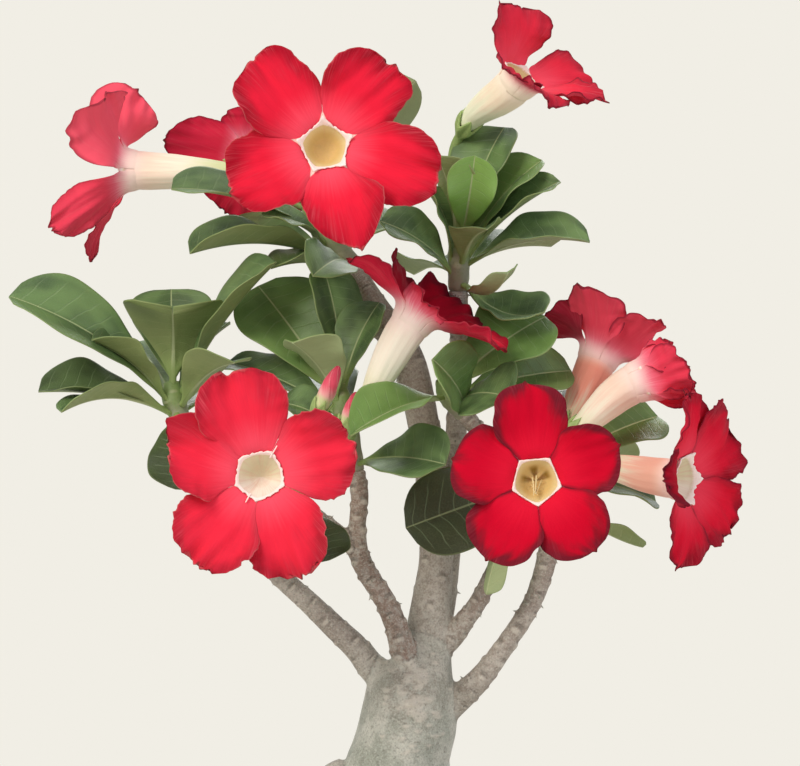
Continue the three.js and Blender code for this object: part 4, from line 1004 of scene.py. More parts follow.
def petal_piece(flower, seed, angle, before, after, long=27, wide=28, lift=14, recurve=26,
                twist=12, wave=1.2, skew=0.0, point=0.04, blunt=2.4, uneven=0, lean=0, dip=0,
                dip_at=0, curl=0, ragged=0.4, deep=0, bright=0, dents=()):
    """One petal. before and after are the angles to the planes that part it from its neighbours.
    blunt and point shape its end, skew and lean carry that end to one side, recurve bends the
    blade back, dip notches it, curl and dents fold it, and ragged frays its edge."""
    draw = np.random.default_rng(seed)
    whole = long + CLAW_LENGTH
    u = 0.6 * petal_u + 0.4 * np.sin(petal_u * math.pi / 2)
    arc = petal_v * (1 + 0.3 * (1 - petal_v)) * whole
    v = np.clip((arc - CLAW_LENGTH) / long, 0, 1)
    turn = math.radians(angle)
    radial = flower.first * math.cos(turn) + flower.second * math.sin(turn)
    sideways = np.cross(flower.aim, radial)

    steps = (np.arange(MIDDLE_STEPS) + 0.5) / MIDDLE_STEPS
    slopes = petal_slope(column(arc) * steps, whole, lift, recurve)
    sunk = CLAW_SUNK * (1 - smooth(0, CLAW_SUNK_FOR, arc))
    radius = CLAW_RADIUS + np.cos(slopes).mean(1) * arc - sunk
    height = np.sin(slopes).mean(1) * arc - CLAW_LENGTH
    slope = column(petal_slope(arc, whole, lift, recurve))
    tangent = radial * np.cos(slope) + flower.aim * np.sin(slope)
    normal = flower.aim * np.cos(slope) - radial * np.sin(slope)

    side = np.where(u < 0, 2.0, 0.0)
    free = smooth(0.3, 0.6, v)
    flat = smooth(CLAW_LENGTH - 1, CLAW_LENGTH + 4, arc)
    outline = 1 + 0.03 * waves(draw, v, side, 0.5, 0.23)
    outline = outline + 0.035 * ragged * waves(draw, v, side, 0.13, 0.08)
    half = half_width(v, wide, blunt) * (1 + (outline - 1) * free) * (1 + uneven * np.sign(u) * free)
    half = held(half, np.where(u < 0, room(radius, flat, v, before), room(radius, flat, v, after)))
    aside = u * half
    bend = (1 - flat) / radius + 1e-5
    lateral = np.sin(aside * bend) / bend
    inward = (1 - np.cos(aside * bend)) / bend

    across_end = aside / (wide / 2)
    margin = np.abs(u) ** 2.6 * smooth(0.25, 0.6, v) * (1 - smooth(0.7, 0.95, v))
    end = smooth(0.65, 0.95, v)
    ruffle = 1.15 * wave * waves(draw, v, side, 0.62, 0.3, 0.16) * margin
    ruffle = ruffle + wave * waves(draw, across_end, 0, 0.95, 0.42) * end
    folds = waves(draw, across_end + 0.25 * v, 0, 0.8, 0.36)
    ruffle = ruffle + 0.5 * wave * folds * smooth(0.15, 0.6, v)
    ruffle = ruffle - curl * (np.abs(u) ** 4 * smooth(0.3, 0.6, v) + smooth(0.8, 1, v) ** 2)
    soft = [(draw.uniform(-0.6, 0.6), draw.uniform(0.45, 0.85), 0.3, draw.uniform(-1, 1))
            for _ in range(SOFT_DENTS)]
    for at_u, at_v, size, depth in [*soft, *dents]:
        ruffle = ruffle + depth * np.exp(-((u - at_u) ** 2 + (v - at_v) ** 2) / size ** 2)
    raised = inward + PETAL_CUP * aside ** 2 / wide * smooth(0.2, 0.7, v) + ruffle
    roll = np.radians(twist) * smooth(0.1, 0.7, v)

    brim = np.maximum(smooth(0.9, 1, v), np.abs(u) ** 8 * smooth(0.6, 0.8, v))
    ahead = long * point * smooth(0.72, 1, v) * np.clip(1 - np.abs(across_end - skew), 0, 1) ** 1.4
    spike = np.exp(-((across_end - skew) / 0.05) ** 2) * brim
    ahead = ahead + 0.9 * spike + ragged * waves(draw, across_end, 0, 0.3, 0.16) * smooth(0.85, 1, v)
    ahead = ahead - dip * np.exp(-((across_end - dip_at) / 0.18) ** 2) * smooth(0.6, 1, v)

    across_way = sideways * column(np.cos(roll)) + normal * column(np.sin(roll))
    through = normal * column(np.cos(roll)) - sideways * column(np.sin(roll))
    place = (flower.throat + radial * column(radius) + flower.aim * column(height)
             + across_way * column(lateral + lean * v ** 2) + through * column(raised)
             + tangent * column(ahead))
    thick = PETAL_EDGE + (PETAL_THICK - PETAL_EDGE) * (1 - np.abs(u) ** 5) * (1 - smooth(0.9, 1, v))
    thick = thick * (0.1 + 0.9 * smooth(0, 4, arc))
    tilt = column(np.sin(np.clip(aside * bend, -1.2, 1.2)))
    place = place + unit(through - across_way * tilt) * column(petal_face * thick / 2)
    rim = np.maximum(np.abs(u) ** 6 * smooth(0.2, 0.4, v), smooth(0.9, 1, v))
    return laid("petal", place, lay=np.column_stack([u, v, np.full(len(v), draw.uniform(0, 50))]),
                fan=np.arctan2(aside, v * long + 9), along=arc - CLAW_LENGTH, inner=petal_face > 0,
                deep=max(deep, flower.deep), bright=max(bright, flower.bright),
                starry=1.1 * (flower.teeth - 1.2), tint=flower.tint, flush=flower.flush,
                edge=flower.edge, spike=spike, rim=rim)


print("half of a petal at its claw, middle and end:",
      [round(float(half_width(np.array(v), 28, 2.4)), 1) for v in (0, 0.5, 1)], "mm")


# %% [markdown]
# A petal's colour is a pattern along and across it. Its face is a clear rose red that deepens to
# crimson along the sides and towards its end, partly its own colour and partly painted shade where
# petals shade each other's edges, and that pales by the mouth, partly painted light. It has fine
# rays and a thin rim, pale on some flowers and dark on others.
# It starts cream at the claw, and the cream reaches further up where two petals meet, which draws
# the star round the mouth. Its back is paler, nearly white by the tube. A petal is matt, so it
# has hardly any gloss.

# %% Finish of a petal
def throat_colour(finish, along, lines, flush, tint):
    """The pale skin that a tube and the feet of its petals share, by millimetres from the mouth."""
    near = along + lines.swing(6.0)
    pink = ((near + 10.0) / 11.0).rise() * (0.85 - (tint * -0.7).most(0.0))
    salmon = flush * ((along + lines.swing(34.0) + 22.0 + flush * 16.0) / 22.0).rise()
    salmon = salmon * 1.1 * (1 - ((along + 9.0) / 8.0).rise() * 0.7)
    return finish.coats(
        finish.blend(((near + 36.0) / 18.0).rise(), "#D6DCA8", "#F7F0DA"),
        ((tint * -1.0).most(0.0), "#F0F6D6"),
        (tint.most(0.0), "#FDFDF4"),
        (pink, "#FDE3DB"),
        (salmon.least(1.0), "#F2A08A"),
        (flush * ((along + 7.0) / 7.0).rise() * 0.7, "#FFD6D8"))


petal_finish = Finish("petal", IOR=1.3, Specular_IOR_Level=0.06, Sheen_Weight=0.02)
u, v, seed = petal_finish.parts(petal_finish.attribute("lay", "Vector"))
fan, inner, along, deep, rim, spike, tint, flush, edge, bright, starry = petal_finish.marks(
    "fan inner along deep rim spike tint flush edge bright starry")
clouds = petal_finish.noise(petal_finish.point(u, v * 0.9, seed), 2.2, 2.0)
rays = petal_finish.noise(petal_finish.point(fan * 22.0, v * 0.7, seed), 1.6, 3.0, 0.6)
fine = petal_finish.noise(petal_finish.point(fan * 85.0, v * 1.6, seed), 1.5, 2.0)
# glow: paler rose near the mouth, partly the petal's own paler base and partly painted light where the
# petal's steep foot would be shaded
glow = 1 - ((along + rays.swing(7.0) + abs(u) * 4.0) / 16.0).rise(0.05, 1.0)
# Darker towards the sides and the end: partly the petal's own crimson, partly painted shade where
# petals shade each other's edges; the back uses it too
outwards = abs(u) ** 2.0 * 0.7 + v ** 2.4 * 0.6 + clouds.swing(0.9) + rays.swing(0.25)
outwards = outwards.rise(0.15, 0.95)
maroon = abs(u) ** 3.0 * 0.6 + v ** 4.0 * 0.55 + clouds.swing(0.9) + fine.swing(0.15)
# Up to 1, deep is the darker velvet red that some flowers have; above 1 it is painted shade, turning a
# petal whose inner face lies in shadow dark maroon
velvet = petal_finish.coats(
    petal_finish.blend(outwards * 0.8, "#C80828", "#A20A22"),
    (glow * 0.75, "#E41C38"),
    (maroon.rise(0.26, 0.62) * 0.95, "#6C1826"),
    ((deep - 1).most(0.0), "#6A0E1E"))
hazy = outwards * clouds.rise(0.35, 0.65) * (1 - deep * 0.8)
star = abs(u) ** 3.0 * starry + rays.swing(0.8) + 0.05
face = petal_finish.coats(
    petal_finish.blend(outwards, "#E6223B", "#A81227"),
    (glow, "#F25064"),
    (deep, velvet),
    (rays.rise(0.45, 0.75) * hazy * 0.3, "#EE5A6C"),
    (fine.rise(0.45, 0.75) * (hazy * 0.5 + rim * 0.3) * 0.4, "#F07C84"),
    ((1 - fine).rise(0.5, 0.75) * (0.12 - deep * 0.08), "#A30E24"),
    # painted light: a petal that lies in shade is lifted to a paler red
    (bright * 0.4, "#F4586C"),
    (1 - (along - star).rise(-0.4, 0.4), "#F6D9CC"))
far_out = along + rays.swing(5.0)
back = petal_finish.coats(
    throat_colour(petal_finish, along, rays, flush, tint),
    ((far_out / 6.0).rise(-0.4, 0.8), "#F67F95"),
    ((far_out / 9.0).rise(0.15, 1.0), "#E02C48"),
    (outwards * 0.6 * v.rise(0.2, 0.5), "#B41832"),
    # painted light: the back of a petal that lies in shade is lifted to a paler red
    (bright * 0.7 * v.rise(0.0, 0.3), "#FF667A"),
    # deep darkens the back: the flower's own darker red, and above 1 painted shade
    (deep * 0.6 * v.rise(0.02, 0.25), "#8E1C30"),
    (rays.rise(0.45, 0.85) * 0.15 * v.rise(0.05, 0.3), "#F08C90"))
colour = petal_finish.coats(
    petal_finish.blend(inner, back, face),
    (rim.rise(0.8, 1.0) * 0.3 * (1 - deep) * (1 - edge), "#E08A86"),
    (rim.rise(0.5, 1.0) * 0.75 * edge, "#74182A"),
    (spike.rise(0.3, 0.8) * 0.7, "#5A2A26"))
petal_finish.relief(0.5 + rays.swing(0.4) + fine.swing(0.15), 0.14)
petal_material = petal_finish.done(colour, 0.72 + fine.swing(0.2))
print("petal finish:", len(petal_finish.tree.nodes), "nodes")

# %% Petals on their nodes
def halfway(petals, first, last):
    """Half the angle between two petals."""
    gap = petals[last % len(petals)]["angle"] - petals[first % len(petals)]["angle"]
    return gap % 360 / 2


def limb(name, flower, seed):
    """A flower's five petals."""
    petals = flower.petals
    pieces = [petal_piece(flower, seed * 10 + k, before=halfway(petals, k - 1, k),
                          after=halfway(petals, k, k + 1), **one) for k, one in enumerate(petals)]
    finished(joined(f"{name}_limb", pieces), "petal_red", f"{name}_petals", petal_material)


for seed, (name, flower) in enumerate(FLOWERS.items(), 1):
    limb(name, flower, seed)

# %% [markdown]
# ## Tubes
#
# A flower's tube starts narrow in its calyx, swells towards the mouth and is faintly ribbed. In
# the mouth stands a ragged fringe, the corona, and inside it a cone of anthers whose long
# threads reach out. One sleeve makes the tube, its fringe, its bore and the cone, because they are
# one skin: its outside runs up, turns over at the rim and comes back up as the cone. Where the
# cone can't be seen for the mouth's shadow, the bore ends in a plain bowl.

# %% Shape of a tube
TUBE_REACH = 0.36
TUBE_OUTSIDE = [(0, 2.7), (0.1, 3.5), (0.34, 4.8), (0.66, 6.1), (1, CLAW_RADIUS - 0.15)]
OUTSIDE_SHARE = 0.5
RIM_SHARE = 0.64
BORE_SHARE = 0.8
FRINGE_RADIUS = 6.9
BORE = [(0, FRINGE_RADIUS), (1.2, 6.3), (3, 5.1), (4.4, 3.9)]
CONE = [(4.4, 3.5), (3.9, 2.6), (3.6, 1.3), (3.5, 0.1)]
BOWL = [(4.4, 3.8), (5.2, 2.9), (5.7, 1.5), (5.8, 0.1)]


def tube_line(flower, share):
    """Places and ways along the tube's bent middle line."""
    foot, throat = flower.foot, flower.throat
    reach = np.linalg.norm(throat - foot) * TUBE_REACH
    a, b = foot + flower.way * reach, throat - flower.aim * reach
    s = column(np.clip(share, 0, 1))
    place = foot * (1 - s) ** 3 + 3 * a * s * (1 - s) ** 2 + 3 * b * s ** 2 * (1 - s) + throat * s ** 3
    way = (a - foot) * (1 - s) ** 2 + 2 * (b - a) * s * (1 - s) + (throat - b) * s ** 2
    return place, unit(way)


def star_wave(angle, petals, sharp):
    """1 at the gaps between petals and 0 at their middles, round the mouth."""
    near = np.full(len(angle), math.pi)
    for k in range(len(petals)):
        gap = math.radians(petals[k - 1]["angle"] + halfway(petals, k - 1, k))
        near = np.minimum(near, np.abs(apart(angle, gap)))
    return np.clip(1 - near / (math.pi / len(petals)), 0, 1) ** sharp


def tube_piece(flower, seed):
    """The whole sleeve of a tube: up its outside, over the fringe, down the bore, up the cone."""
    draw = np.random.default_rng(seed)
    angle, s = round_and_along("tube")
    places = tube_line(flower, np.linspace(0, 1, 40))[0]
    length = np.linalg.norm(np.diff(places, axis=0), axis=1).sum()
    stations = np.array(TUBE_OUTSIDE)
    up = s / OUTSIDE_SHARE
    to_claw = 1 - CLAW_LENGTH / length
    outer = np.interp(up / to_claw, stations[:, 0], stations[:, 1])
    outer = outer + (MOUTH_RADIUS - stations[-1, 1]) * smooth(0.4 + 0.6 * to_claw, 1, up)
    ribs = 1 + 0.025 * np.cos(5 * angle + draw.uniform(0, 6)) + 0.01 * np.cos(15 * angle)
    outer = outer * (1 + (ribs - 1) * smooth(0.1, 0.4, up) * (1 - smooth(0.8, 0.9, up)))

    star = star_wave(angle, flower.petals, flower.sharp)
    jag = waves(draw, angle, 0, 6.28 / 31, 6.28 / 19) + 0.3 * np.sin(5 * angle)
    tattered, hollows = flower.tattered, flower.hollows
    tooth = 0.8 + 0.6 * tattered + flower.teeth * star + (0.3 + tattered) * (0.5 + 0.5 * jag)
    over = part(OUTSIDE_SHARE, RIM_SHARE, s)
    out = tooth * np.interp(over, [0, 0.25, 0.6, 1], [0, 0, 1, 0])
    root = FRINGE_RADIUS + 0.9 * star
    rim_radius = root + (MOUTH_RADIUS - root) * (1 - smooth(0, 0.25, over)) + out * 0.46
    rim_radius = rim_radius - 0.5 * star * smooth(0.6, 1, over) - 0.3 * smooth(0.6, 0.65, over)
    rim_height = out * (0.92 - 0.03 * out)
    rim_height = rim_height + 0.3 * smooth(0.6, 0.65, over) * (1 - smooth(0.9, 1, over))

    down = part(RIM_SHARE, BORE_SHARE, s) * BORE[-1][0]
    bore = np.interp(down, *np.array(BORE).T) + 0.4 * star * (1 - smooth(0, 3, down))
    rise = part(BORE_SHARE, 1, s)
    bottom = np.array(CONE if hollows else BOWL)
    stops = np.linspace(0, 1, len(bottom))
    depth = np.interp(rise, stops, bottom[:, 0])
    ridges = 1 - (0.5 - 0.5 * np.cos(5 * angle + 0.6)) * hollows
    cone = np.where(s >= 1, 0, np.interp(rise, stops, bottom[:, 1]) * (0.6 + 0.4 * ridges))

    which = [s <= OUTSIDE_SHARE, s <= RIM_SHARE, s <= BORE_SHARE]
    radius = np.where(s <= 0, 0, np.select(which, [outer, rim_radius, bore], cone))
    share = np.select(which, [up, np.ones(len(s)), 1 - down / length], 1 - depth / length)
    middle, way = tube_line(flower, share)
    middle = middle + way * column(np.where(which[1] & ~which[0], rim_height, 0))
    second = unit(flower.second - way * column(way @ flower.second))
    place = around(middle, np.cross(second, way), second, angle, radius)
    return laid("tube", place, lay=np.column_stack([np.cos(angle), np.sin(angle), share * length / 9]),
                inside=smooth(OUTSIDE_SHARE - 0.01, RIM_SHARE - 0.06, s),
                cone=smooth(BORE_SHARE - 0.005, BORE_SHARE + 0.005, s), depth=down, ridge=ridges,
                fringe=np.where(which[1] & ~which[0], out / 3, 0.0), flush=flower.flush,
                tint=flower.tint, milky=flower.milky,
                along=(np.clip(share, 0, 1) - 1) * length)


def thread(flower, draw, angle, far=None):
    """One of the threads that the anthers end in: leaning together, or out over the petals."""
    turn, s = round_and_along("thread")
    out = flower.first * math.cos(angle) + flower.second * math.sin(angle)
    side = np.cross(flower.aim, out)
    sway = draw.uniform(-1.2, 1.2)
    if far:
        middle = (flower.throat + flower.aim * column(0.8 + 4.8 * s - 2.0 * s * s)
                  + out * column(6.6 + (far - 6.6) * s) + side * column(0.3 * sway * s))
    else:
        middle = (flower.throat + flower.aim * column(-3.6 + 4.4 * s)
                  + out * column(2.2 * (1 - s)) + side * column(sway * s ** 2)
                  - flower.second * column(4.6 * s ** 1.3))
    radius = column(0.36 * (1 - 0.5 * s) * (s > 0) * (s < 1))
    place = middle + side * column(np.cos(turn)) * radius
    place = place + unit(flower.aim - out * 0.7) * column(np.sin(turn)) * radius
    return laid("thread", place, lay=np.column_stack([turn * 0, turn * 0, s]), inside=1, flush=0.3,
                cone=1, fringe=0.5 * bool(far), depth=0, ridge=1, tint=0, milky=0, along=0)


print("radius of a tube half-way up:", np.interp(0.5, *np.array(TUBE_OUTSIDE).T).round(1), "mm")


# %% Finish of a tube
tube_finish = Finish("tube", IOR=1.3, Specular_IOR_Level=0.06, Sheen_Weight=0.02)
x, y, z = tube_finish.parts(tube_finish.attribute("lay", "Vector"))
inside, along, flush, cone, fringe, depth, ridge, tint, milky = tube_finish.marks(
    "inside along flush cone fringe depth ridge tint milky")
lines = tube_finish.noise(tube_finish.point(x * 5.0, y * 5.0, z * 0.45), 1.3, 3.0)
specks = tube_finish.noise(tube_finish.point(x * 9.0, y * 9.0, z * 9.0), 2.2, 2.0)
# Painted shade: the hollows of the anther cone are painted dark brown in the upper half of the mouth,
# where shade falls
hollow_shade = (1 - ridge).rise(0.1, 0.7) * (y + 0.5).rise(0.0, 0.9)
bore = tube_finish.coats(
    tube_finish.blend((depth / 4.5).rise(-0.1, 0.8), "#E2CE9A", "#D6B576"),
    (milky * 0.8, "#DDD8BC"),
    (milky * (0.3 - y).rise() * 0.7, "#F6E6E0"),
    (milky * lines.rise(0.4, 0.7) * 0.35, "#DDB0A0"),
    ((depth / 4.5).rise(0.4, 1.0) * hollow_shade, "#94702F"),
    (lines.rise(0.55, 0.75) * 0.2, "#DDA58A"))
anther = tube_finish.coats(
    bore,
    (hollow_shade * 0.85, "#7F5C28"),
    ((specks - 0.3).rise(0.0, 0.4) * 0.3, "#D9AE8C"))
colour = tube_finish.coats(
    throat_colour(tube_finish, along, lines, flush, tint),
    (inside, bore),
    (cone, anther),
    ((fringe + specks.swing(0.4)).rise(0.04, 0.32), "#FBE9E2"))
tube_finish.relief(0.5 + lines.swing(0.6) + specks.swing(0.2), 0.2)
tube_material = tube_finish.done(colour, 0.55 + specks.swing(0.15))
print("tube finish:", len(tube_finish.tree.nodes), "nodes")

# %% Tubes on their nodes
for seed, (name, flower) in enumerate(FLOWERS.items(), 1):
    draw = np.random.default_rng(seed * 7)
    pieces = [tube_piece(flower, seed)]
    if flower.hollows:
        pieces += [thread(flower, draw, k * 2 * math.pi / 5 + draw.uniform(-0.3, 0.3))
                   for k in range(5)]
    pieces += [thread(flower, draw, math.radians(at), far) for at, far in flower.threads]
    finished(joined(f"{name}_corolla_tube", pieces), "tube_cream", f"{name}_tube", tube_material)

# %% [markdown]
# ## Buds
#
# A bud is the flower before it opens: its five petals are rolled round each other into a pointed
# spindle, and their edges show as ridges that wind up it. It is green below, pale pink above and
# deep pink at the tip.

# %% Buds
BUD_OUTSIDE = [
    (0, 0), (0.02, 2.3), (0.12, 3.0), (0.4, 3.1), (0.62, 2.7), (0.85, 1.9), (0.97, 0.9), (1, 0)]
BUD_TURN = 2.6


def bud_piece(flower):
    angle, s = round_and_along("bud")
    spin = angle + s * BUD_TURN
    radius = np.interp(s, *np.array(BUD_OUTSIDE).T) * flower.size
    saw = (spin * 5 / (2 * math.pi)) % 1
    radius = radius * (0.93 + 0.09 * saw ** 1.5 * smooth(0.15, 0.5, s))
    first = flower.first
    place = around(flower.foot * column(1 - s) + flower.throat * column(s), first,
                   np.cross(flower.aim, first), angle, radius)
    return laid("bud", place, lay=np.column_stack([np.cos(spin), np.sin(spin), s]), saw=saw, up=s)


bud_finish = Finish("bud", IOR=1.4, Sheen_Weight=0.2)
x, y, z = bud_finish.parts(bud_finish.attribute("lay", "Vector"))
up, saw = bud_finish.marks("up saw")
lines = bud_finish.noise(bud_finish.point(x * 4.0, y * 4.0, z * 1.2), 1.5, 3.0)
colour = bud_finish.coats(
    bud_finish.blend((up + lines.swing(0.1)).rise(0.22, 0.4), "#CBD79C", "#F0B4B0"),
    ((up + lines.swing(0.3)).rise(0.3, 0.6), "#E04E66"),
    ((up + lines.swing(0.2)).rise(0.6, 1.0), "#B31C3C"),
    (saw.rise(0.75, 1.0) * 0.35, "#F6B9B4"))
bud_finish.relief(0.5 + lines.swing(0.6), 0.2)
bud_material = bud_finish.done(colour, 0.5 + lines.swing(0.1))
for name, bud in BUDS.items():
    finished(joined(f"{name}_rolled", [bud_piece(bud)]), "bud_pink", name, bud_material)

# %% [markdown]
# ## Green stems, flower stalks and calyxes
#
# The end of a branch is still green and fleshy, knobbly with the scars of fallen leaves. Flower
# stalks spring from it, and each ends in a calyx: a small green cup with five pointed teeth that
# holds the tube's foot. The teeth are the sleeve's own rim, raised and lowered round the cup.

# %% Stems and calyxes
STALK_RADIUS = 1.7
CALYX_BASE = -4.5
CALYX_SEAT = 0.3
CALYX_WALL = 0.55
CALYX_FLARE = [(0, STALK_RADIUS), (0.4, 3.3), (0.6, 4.0), (1, 4.5)]
STALK_SHARE = 0.4
CUP_SHARE = 0.8
KNOBS = 16
KNOB_TURN = 2.4


def stem_piece(stem, start_way, seed):
    draw = np.random.default_rng(seed)
    angle, s = round_and_along("stem")
    middle, radius = stem.at(s)
    way = stem.way(s)
    way[s <= 0] = start_way
    first, second = across(way)
    knobs = np.zeros(len(s))
    for k in range(KNOBS):
        off = apart(angle, k * KNOB_TURN)
        knobs += np.exp(-((s - (k + 0.5) / KNOBS) / 0.045) ** 2 - (off / 0.55) ** 2)
    radius = radius * (1 + 0.09 * knobs + 0.02 * np.sin(3 * angle + draw.uniform(0, 6)))
    radius = np.where((s <= 0) | (s >= 1), 0, radius)
    return laid("stem", around(middle, first, second, angle, radius), youth=s * 0.6, knob=knobs)


def calyx_piece(flower, root):
    """A flower's stalk from its root in the stem, its cup and the cup's teeth, as one sleeve."""
    angle, s = round_and_along("calyx")
    size, way, foot = flower.calyx, flower.way, flower.foot
    end = foot + way * CALYX_BASE
    mid = end - way * np.linalg.norm(end - root) * 0.45
    b = column(part(0, STALK_SHARE, s))
    stalk_line = root * (1 - b) ** 2 + 2 * mid * b * (1 - b) + end * b ** 2
    stalk_way = unit((mid - root) * (1 - b) + (end - mid) * b + 1e-9)
    tooth = np.clip(1 - np.abs(((angle * 5 / (2 * math.pi) + 0.5) % 1) - 0.5) * 2, 0, 1) ** 1.3
    top = (0.9 + 5.6 * tooth) * size
    cup = part(STALK_SHARE, CUP_SHARE, s)
    inner = part(CUP_SHARE, 1, s)
    height = np.where(s <= CUP_SHARE, CALYX_BASE * (1 - cup) + top * cup,
                      top + (-CALYX_SEAT - top) * inner)
    flare = np.interp(cup, *np.array(CALYX_FLARE).T) * np.where(cup > 0, size, 1)
    flare = flare + 0.7 * tooth * smooth(0.5, 1, cup)
    inside = flare - CALYX_WALL
    radius = np.select([(s <= 0) | (s >= 1), s <= STALK_SHARE, s <= CUP_SHARE],
                       [0, STALK_RADIUS, flare], inside + (2.6 * size - inside) * inner ** 0.7)
    stalk = column(s <= STALK_SHARE)
    lean = np.where(stalk, stalk_way, way)
    second = unit(flower.second - lean * column(lean @ flower.second))
    place = around(np.where(stalk, stalk_line, foot + way * column(height)),
                   np.cross(second, lean), second, angle, radius)
    return laid("calyx", place, youth=0.75 + 0.25 * cup, knob=0)


stem_finish = Finish("green stem", IOR=1.45)
youth, knob = stem_finish.marks("youth knob")
spot = stem_finish.place()
mottle = stem_finish.noise(spot, 260.0, 3.0)
dots = stem_finish.cells(spot, 900.0).rise(0.0, 0.5)
colour = stem_finish.coats(
    stem_finish.blend((youth + mottle.swing(0.4)).rise(0.05, 0.5), "#8F8E78", "#7C9455"),
    ((youth + mottle.swing(0.3)).rise(0.6, 1.0), "#A0B972"),
    (knob.rise(0.3, 0.9) * 0.5, "#B4B392"),
    ((1 - dots) * 0.25, "#5E6E3C"))
stem_finish.relief(0.5 + mottle.swing(0.7) - (1 - dots) * 0.15, 0.3)
stem_material = stem_finish.done(colour, 0.55 + mottle.swing(0.2))
print("stem finish:", len(stem_finish.tree.nodes), "nodes")

# %% Shoots on their nodes
def slots_by(piece, name):
    """Gives each face the material whose number its points carry in an attribute."""
    mark = np.empty(len(piece.data.vertices))
    piece.data.attributes[name].data.foreach_get("value", mark)
    start = np.empty(len(piece.data.polygons), int)
    piece.data.polygons.foreach_get("loop_start", start)
    corner = np.empty(len(piece.data.loops), int)
    piece.data.loops.foreach_get("vertex_index", corner)
    piece.data.polygons.foreach_set("material_index", mark[corner[start]].round().astype(int))


for number, (name, shoot) in enumerate(SHOOTS.items()):
    branch = np.array(BRANCHES[name], float)
    start_way = unit(branch[-1, :3] - branch[-2, :3])
    foot = branch[-1, :3] - start_way * SEATED
    stem = Route([[*foot, branch[-1, 3]], *shoot["stem"]])
    greens = [stem_piece(stem, start_way, number)]
    for flower in [*FLOWERS.values(), *BUDS.values()]:
        if flower.shoot == name:
            greens.append(calyx_piece(flower, stem.at([flower.start])[0][0]))
    for green in greens:
        keep(green, sort=1)
    blades = [leaf_piece(stem, number * 100 + k, **one) for k, one in enumerate(shoot["leaves"])]
    whole = joined(f"shoot_{name}_grown", [*blades, *greens])
    finished(whole, "leaf_green", f"shoot_{name}", leaf_material, stem_material)
    slots_by(whole, "sort")

# %% [markdown]
# ## Wood
#
# The trunk and all its branches grew as one, so their skins have to run into each other with no
# seam in the forks. Each is a sleeve laid along its stations. Joined, they are remeshed into one
# skin, and smoothed so that the forks fill out. The bark comes after that, because a remesh would
# wipe it away: every point of the skin is told which branch it lies on, how far along and at what
# angle, and is raised or sunk by the scars of fallen leaves there. Old wood is smooth and grey
# green, young wood is brown and closely scarred.

# %% Skins of the trunk and branches
TRUNK_LOBES = 0.035
TRUNK_FOLDS = 0.02
VOXEL = 0.85
SMOOTHING = 5
SMOOTHING_SHARE = 0.5
BRANCH_ROWS = 70
BARK_THICK = 0.2
BRANCH_END_THICK = 0.3
FLAT_FROM = 1 - 1 / BRANCH_ROWS
blanks["trunk"] = sleeve_blank(64, 60)
blanks["branch"] = sleeve_blank(20, BRANCH_ROWS)
routes = {"trunk": Route(TRUNK), **{name: Route(stations) for name, stations in BRANCHES.items()}}


def lobed(radius, angle, height):
    """The trunk's radius with its broad lobes and shallow folds."""
    return radius * (1 + TRUNK_LOBES * np.sin(3 * angle + height / 21)
                     + TRUNK_FOLDS * np.sin(5 * angle - height / 13))


def wood_skin(name, route):
    """A trunk stands upright on its middle line. A branch ends flat, where its shoot is seated."""
    blank = "trunk" if name == "trunk" else "branch"
    angle, s = round_and_along(blank)
    ends = (s <= 0) | (s >= 1)
    if name == "trunk":
        middle, radius = route.at(s)
        first, second = np.eye(3)[:2]
        radius = lobed(radius, angle, middle[:, 2])
    else:
        s = np.minimum(s / FLAT_FROM, 1)
        middle, radius = route.at(s)
        first, second = across(route.way(s))
        radius = radius + BARK_THICK + BRANCH_END_THICK * smooth(0.93, 1, s)
    return laid(blank, around(middle, first, second, angle, np.where(ends, 0, radius)))


wood = joined("wood_bark", [wood_skin(name, route) for name, route in routes.items()])
modified(wood, "one skin", "REMESH", mode="VOXEL", voxel_size=VOXEL * MM)
modified(wood, "forks", "SMOOTH", factor=SMOOTHING_SHARE, iterations=SMOOTHING)
print("wood skin:", len(wood.data.vertices), "points")

# %% Where each point of the skin lies
POST_SPACING = 1.5
CHUNK = 4000


def nearest_branch(places):
    """For each place: number of the route, millimetres along it and angle round it."""
    posts = []
    for number, route in enumerate(routes.values()):
        length = route.length()
        share = np.linspace(0, 1, max(int(length / POST_SPACING), 8))
        middle, radius = route.at(share)
        owner = np.full(len(share), number)
        posts.append(np.column_stack([middle, route.way(share), radius, share * length, owner]))
    posts = np.vstack(posts)
    centres, ways, radii, alongs, owners = posts[:, :3], posts[:, 3:6], *posts[:, 6:].T
    found = np.concatenate([
        (np.linalg.norm(places[i:i + CHUNK, None] - centres[None], axis=2) - radii).argmin(1)
        for i in range(0, len(places), CHUNK)])
    offset = places - centres[found]
    way = ways[found]
    first, second = across(way)
    along = alongs[found] + (offset * way).sum(1)
    angle = np.arctan2((offset * second).sum(1), (offset * first).sum(1))
    return owners[found].astype(int), along, angle, radii[found]


skin = points_of(wood) / MM
owner, along, angle, girth = nearest_branch(skin)
print("points on each route:", np.bincount(owner).tolist())

# %% Scars
SCAR_PITCH = {"left": 2.6, "middle": 1.8, "lower": 2.0, "top_left": 3.0, "top_right": 2.8,
              "upright": 2.0, "right": 1.9}
SCAR_DEPTH = {"middle": 0.5, "lower": 0.5, "upright": 0.42, "right": 0.4, "top_left": 0.42}
USUAL_DEPTH = 0.32
SCAR_REACH = 4
STUB_SHARE = 0.3
GOLDEN = 2.39996
FORK_SCARS = 70
TRUNK_DENTS = 46

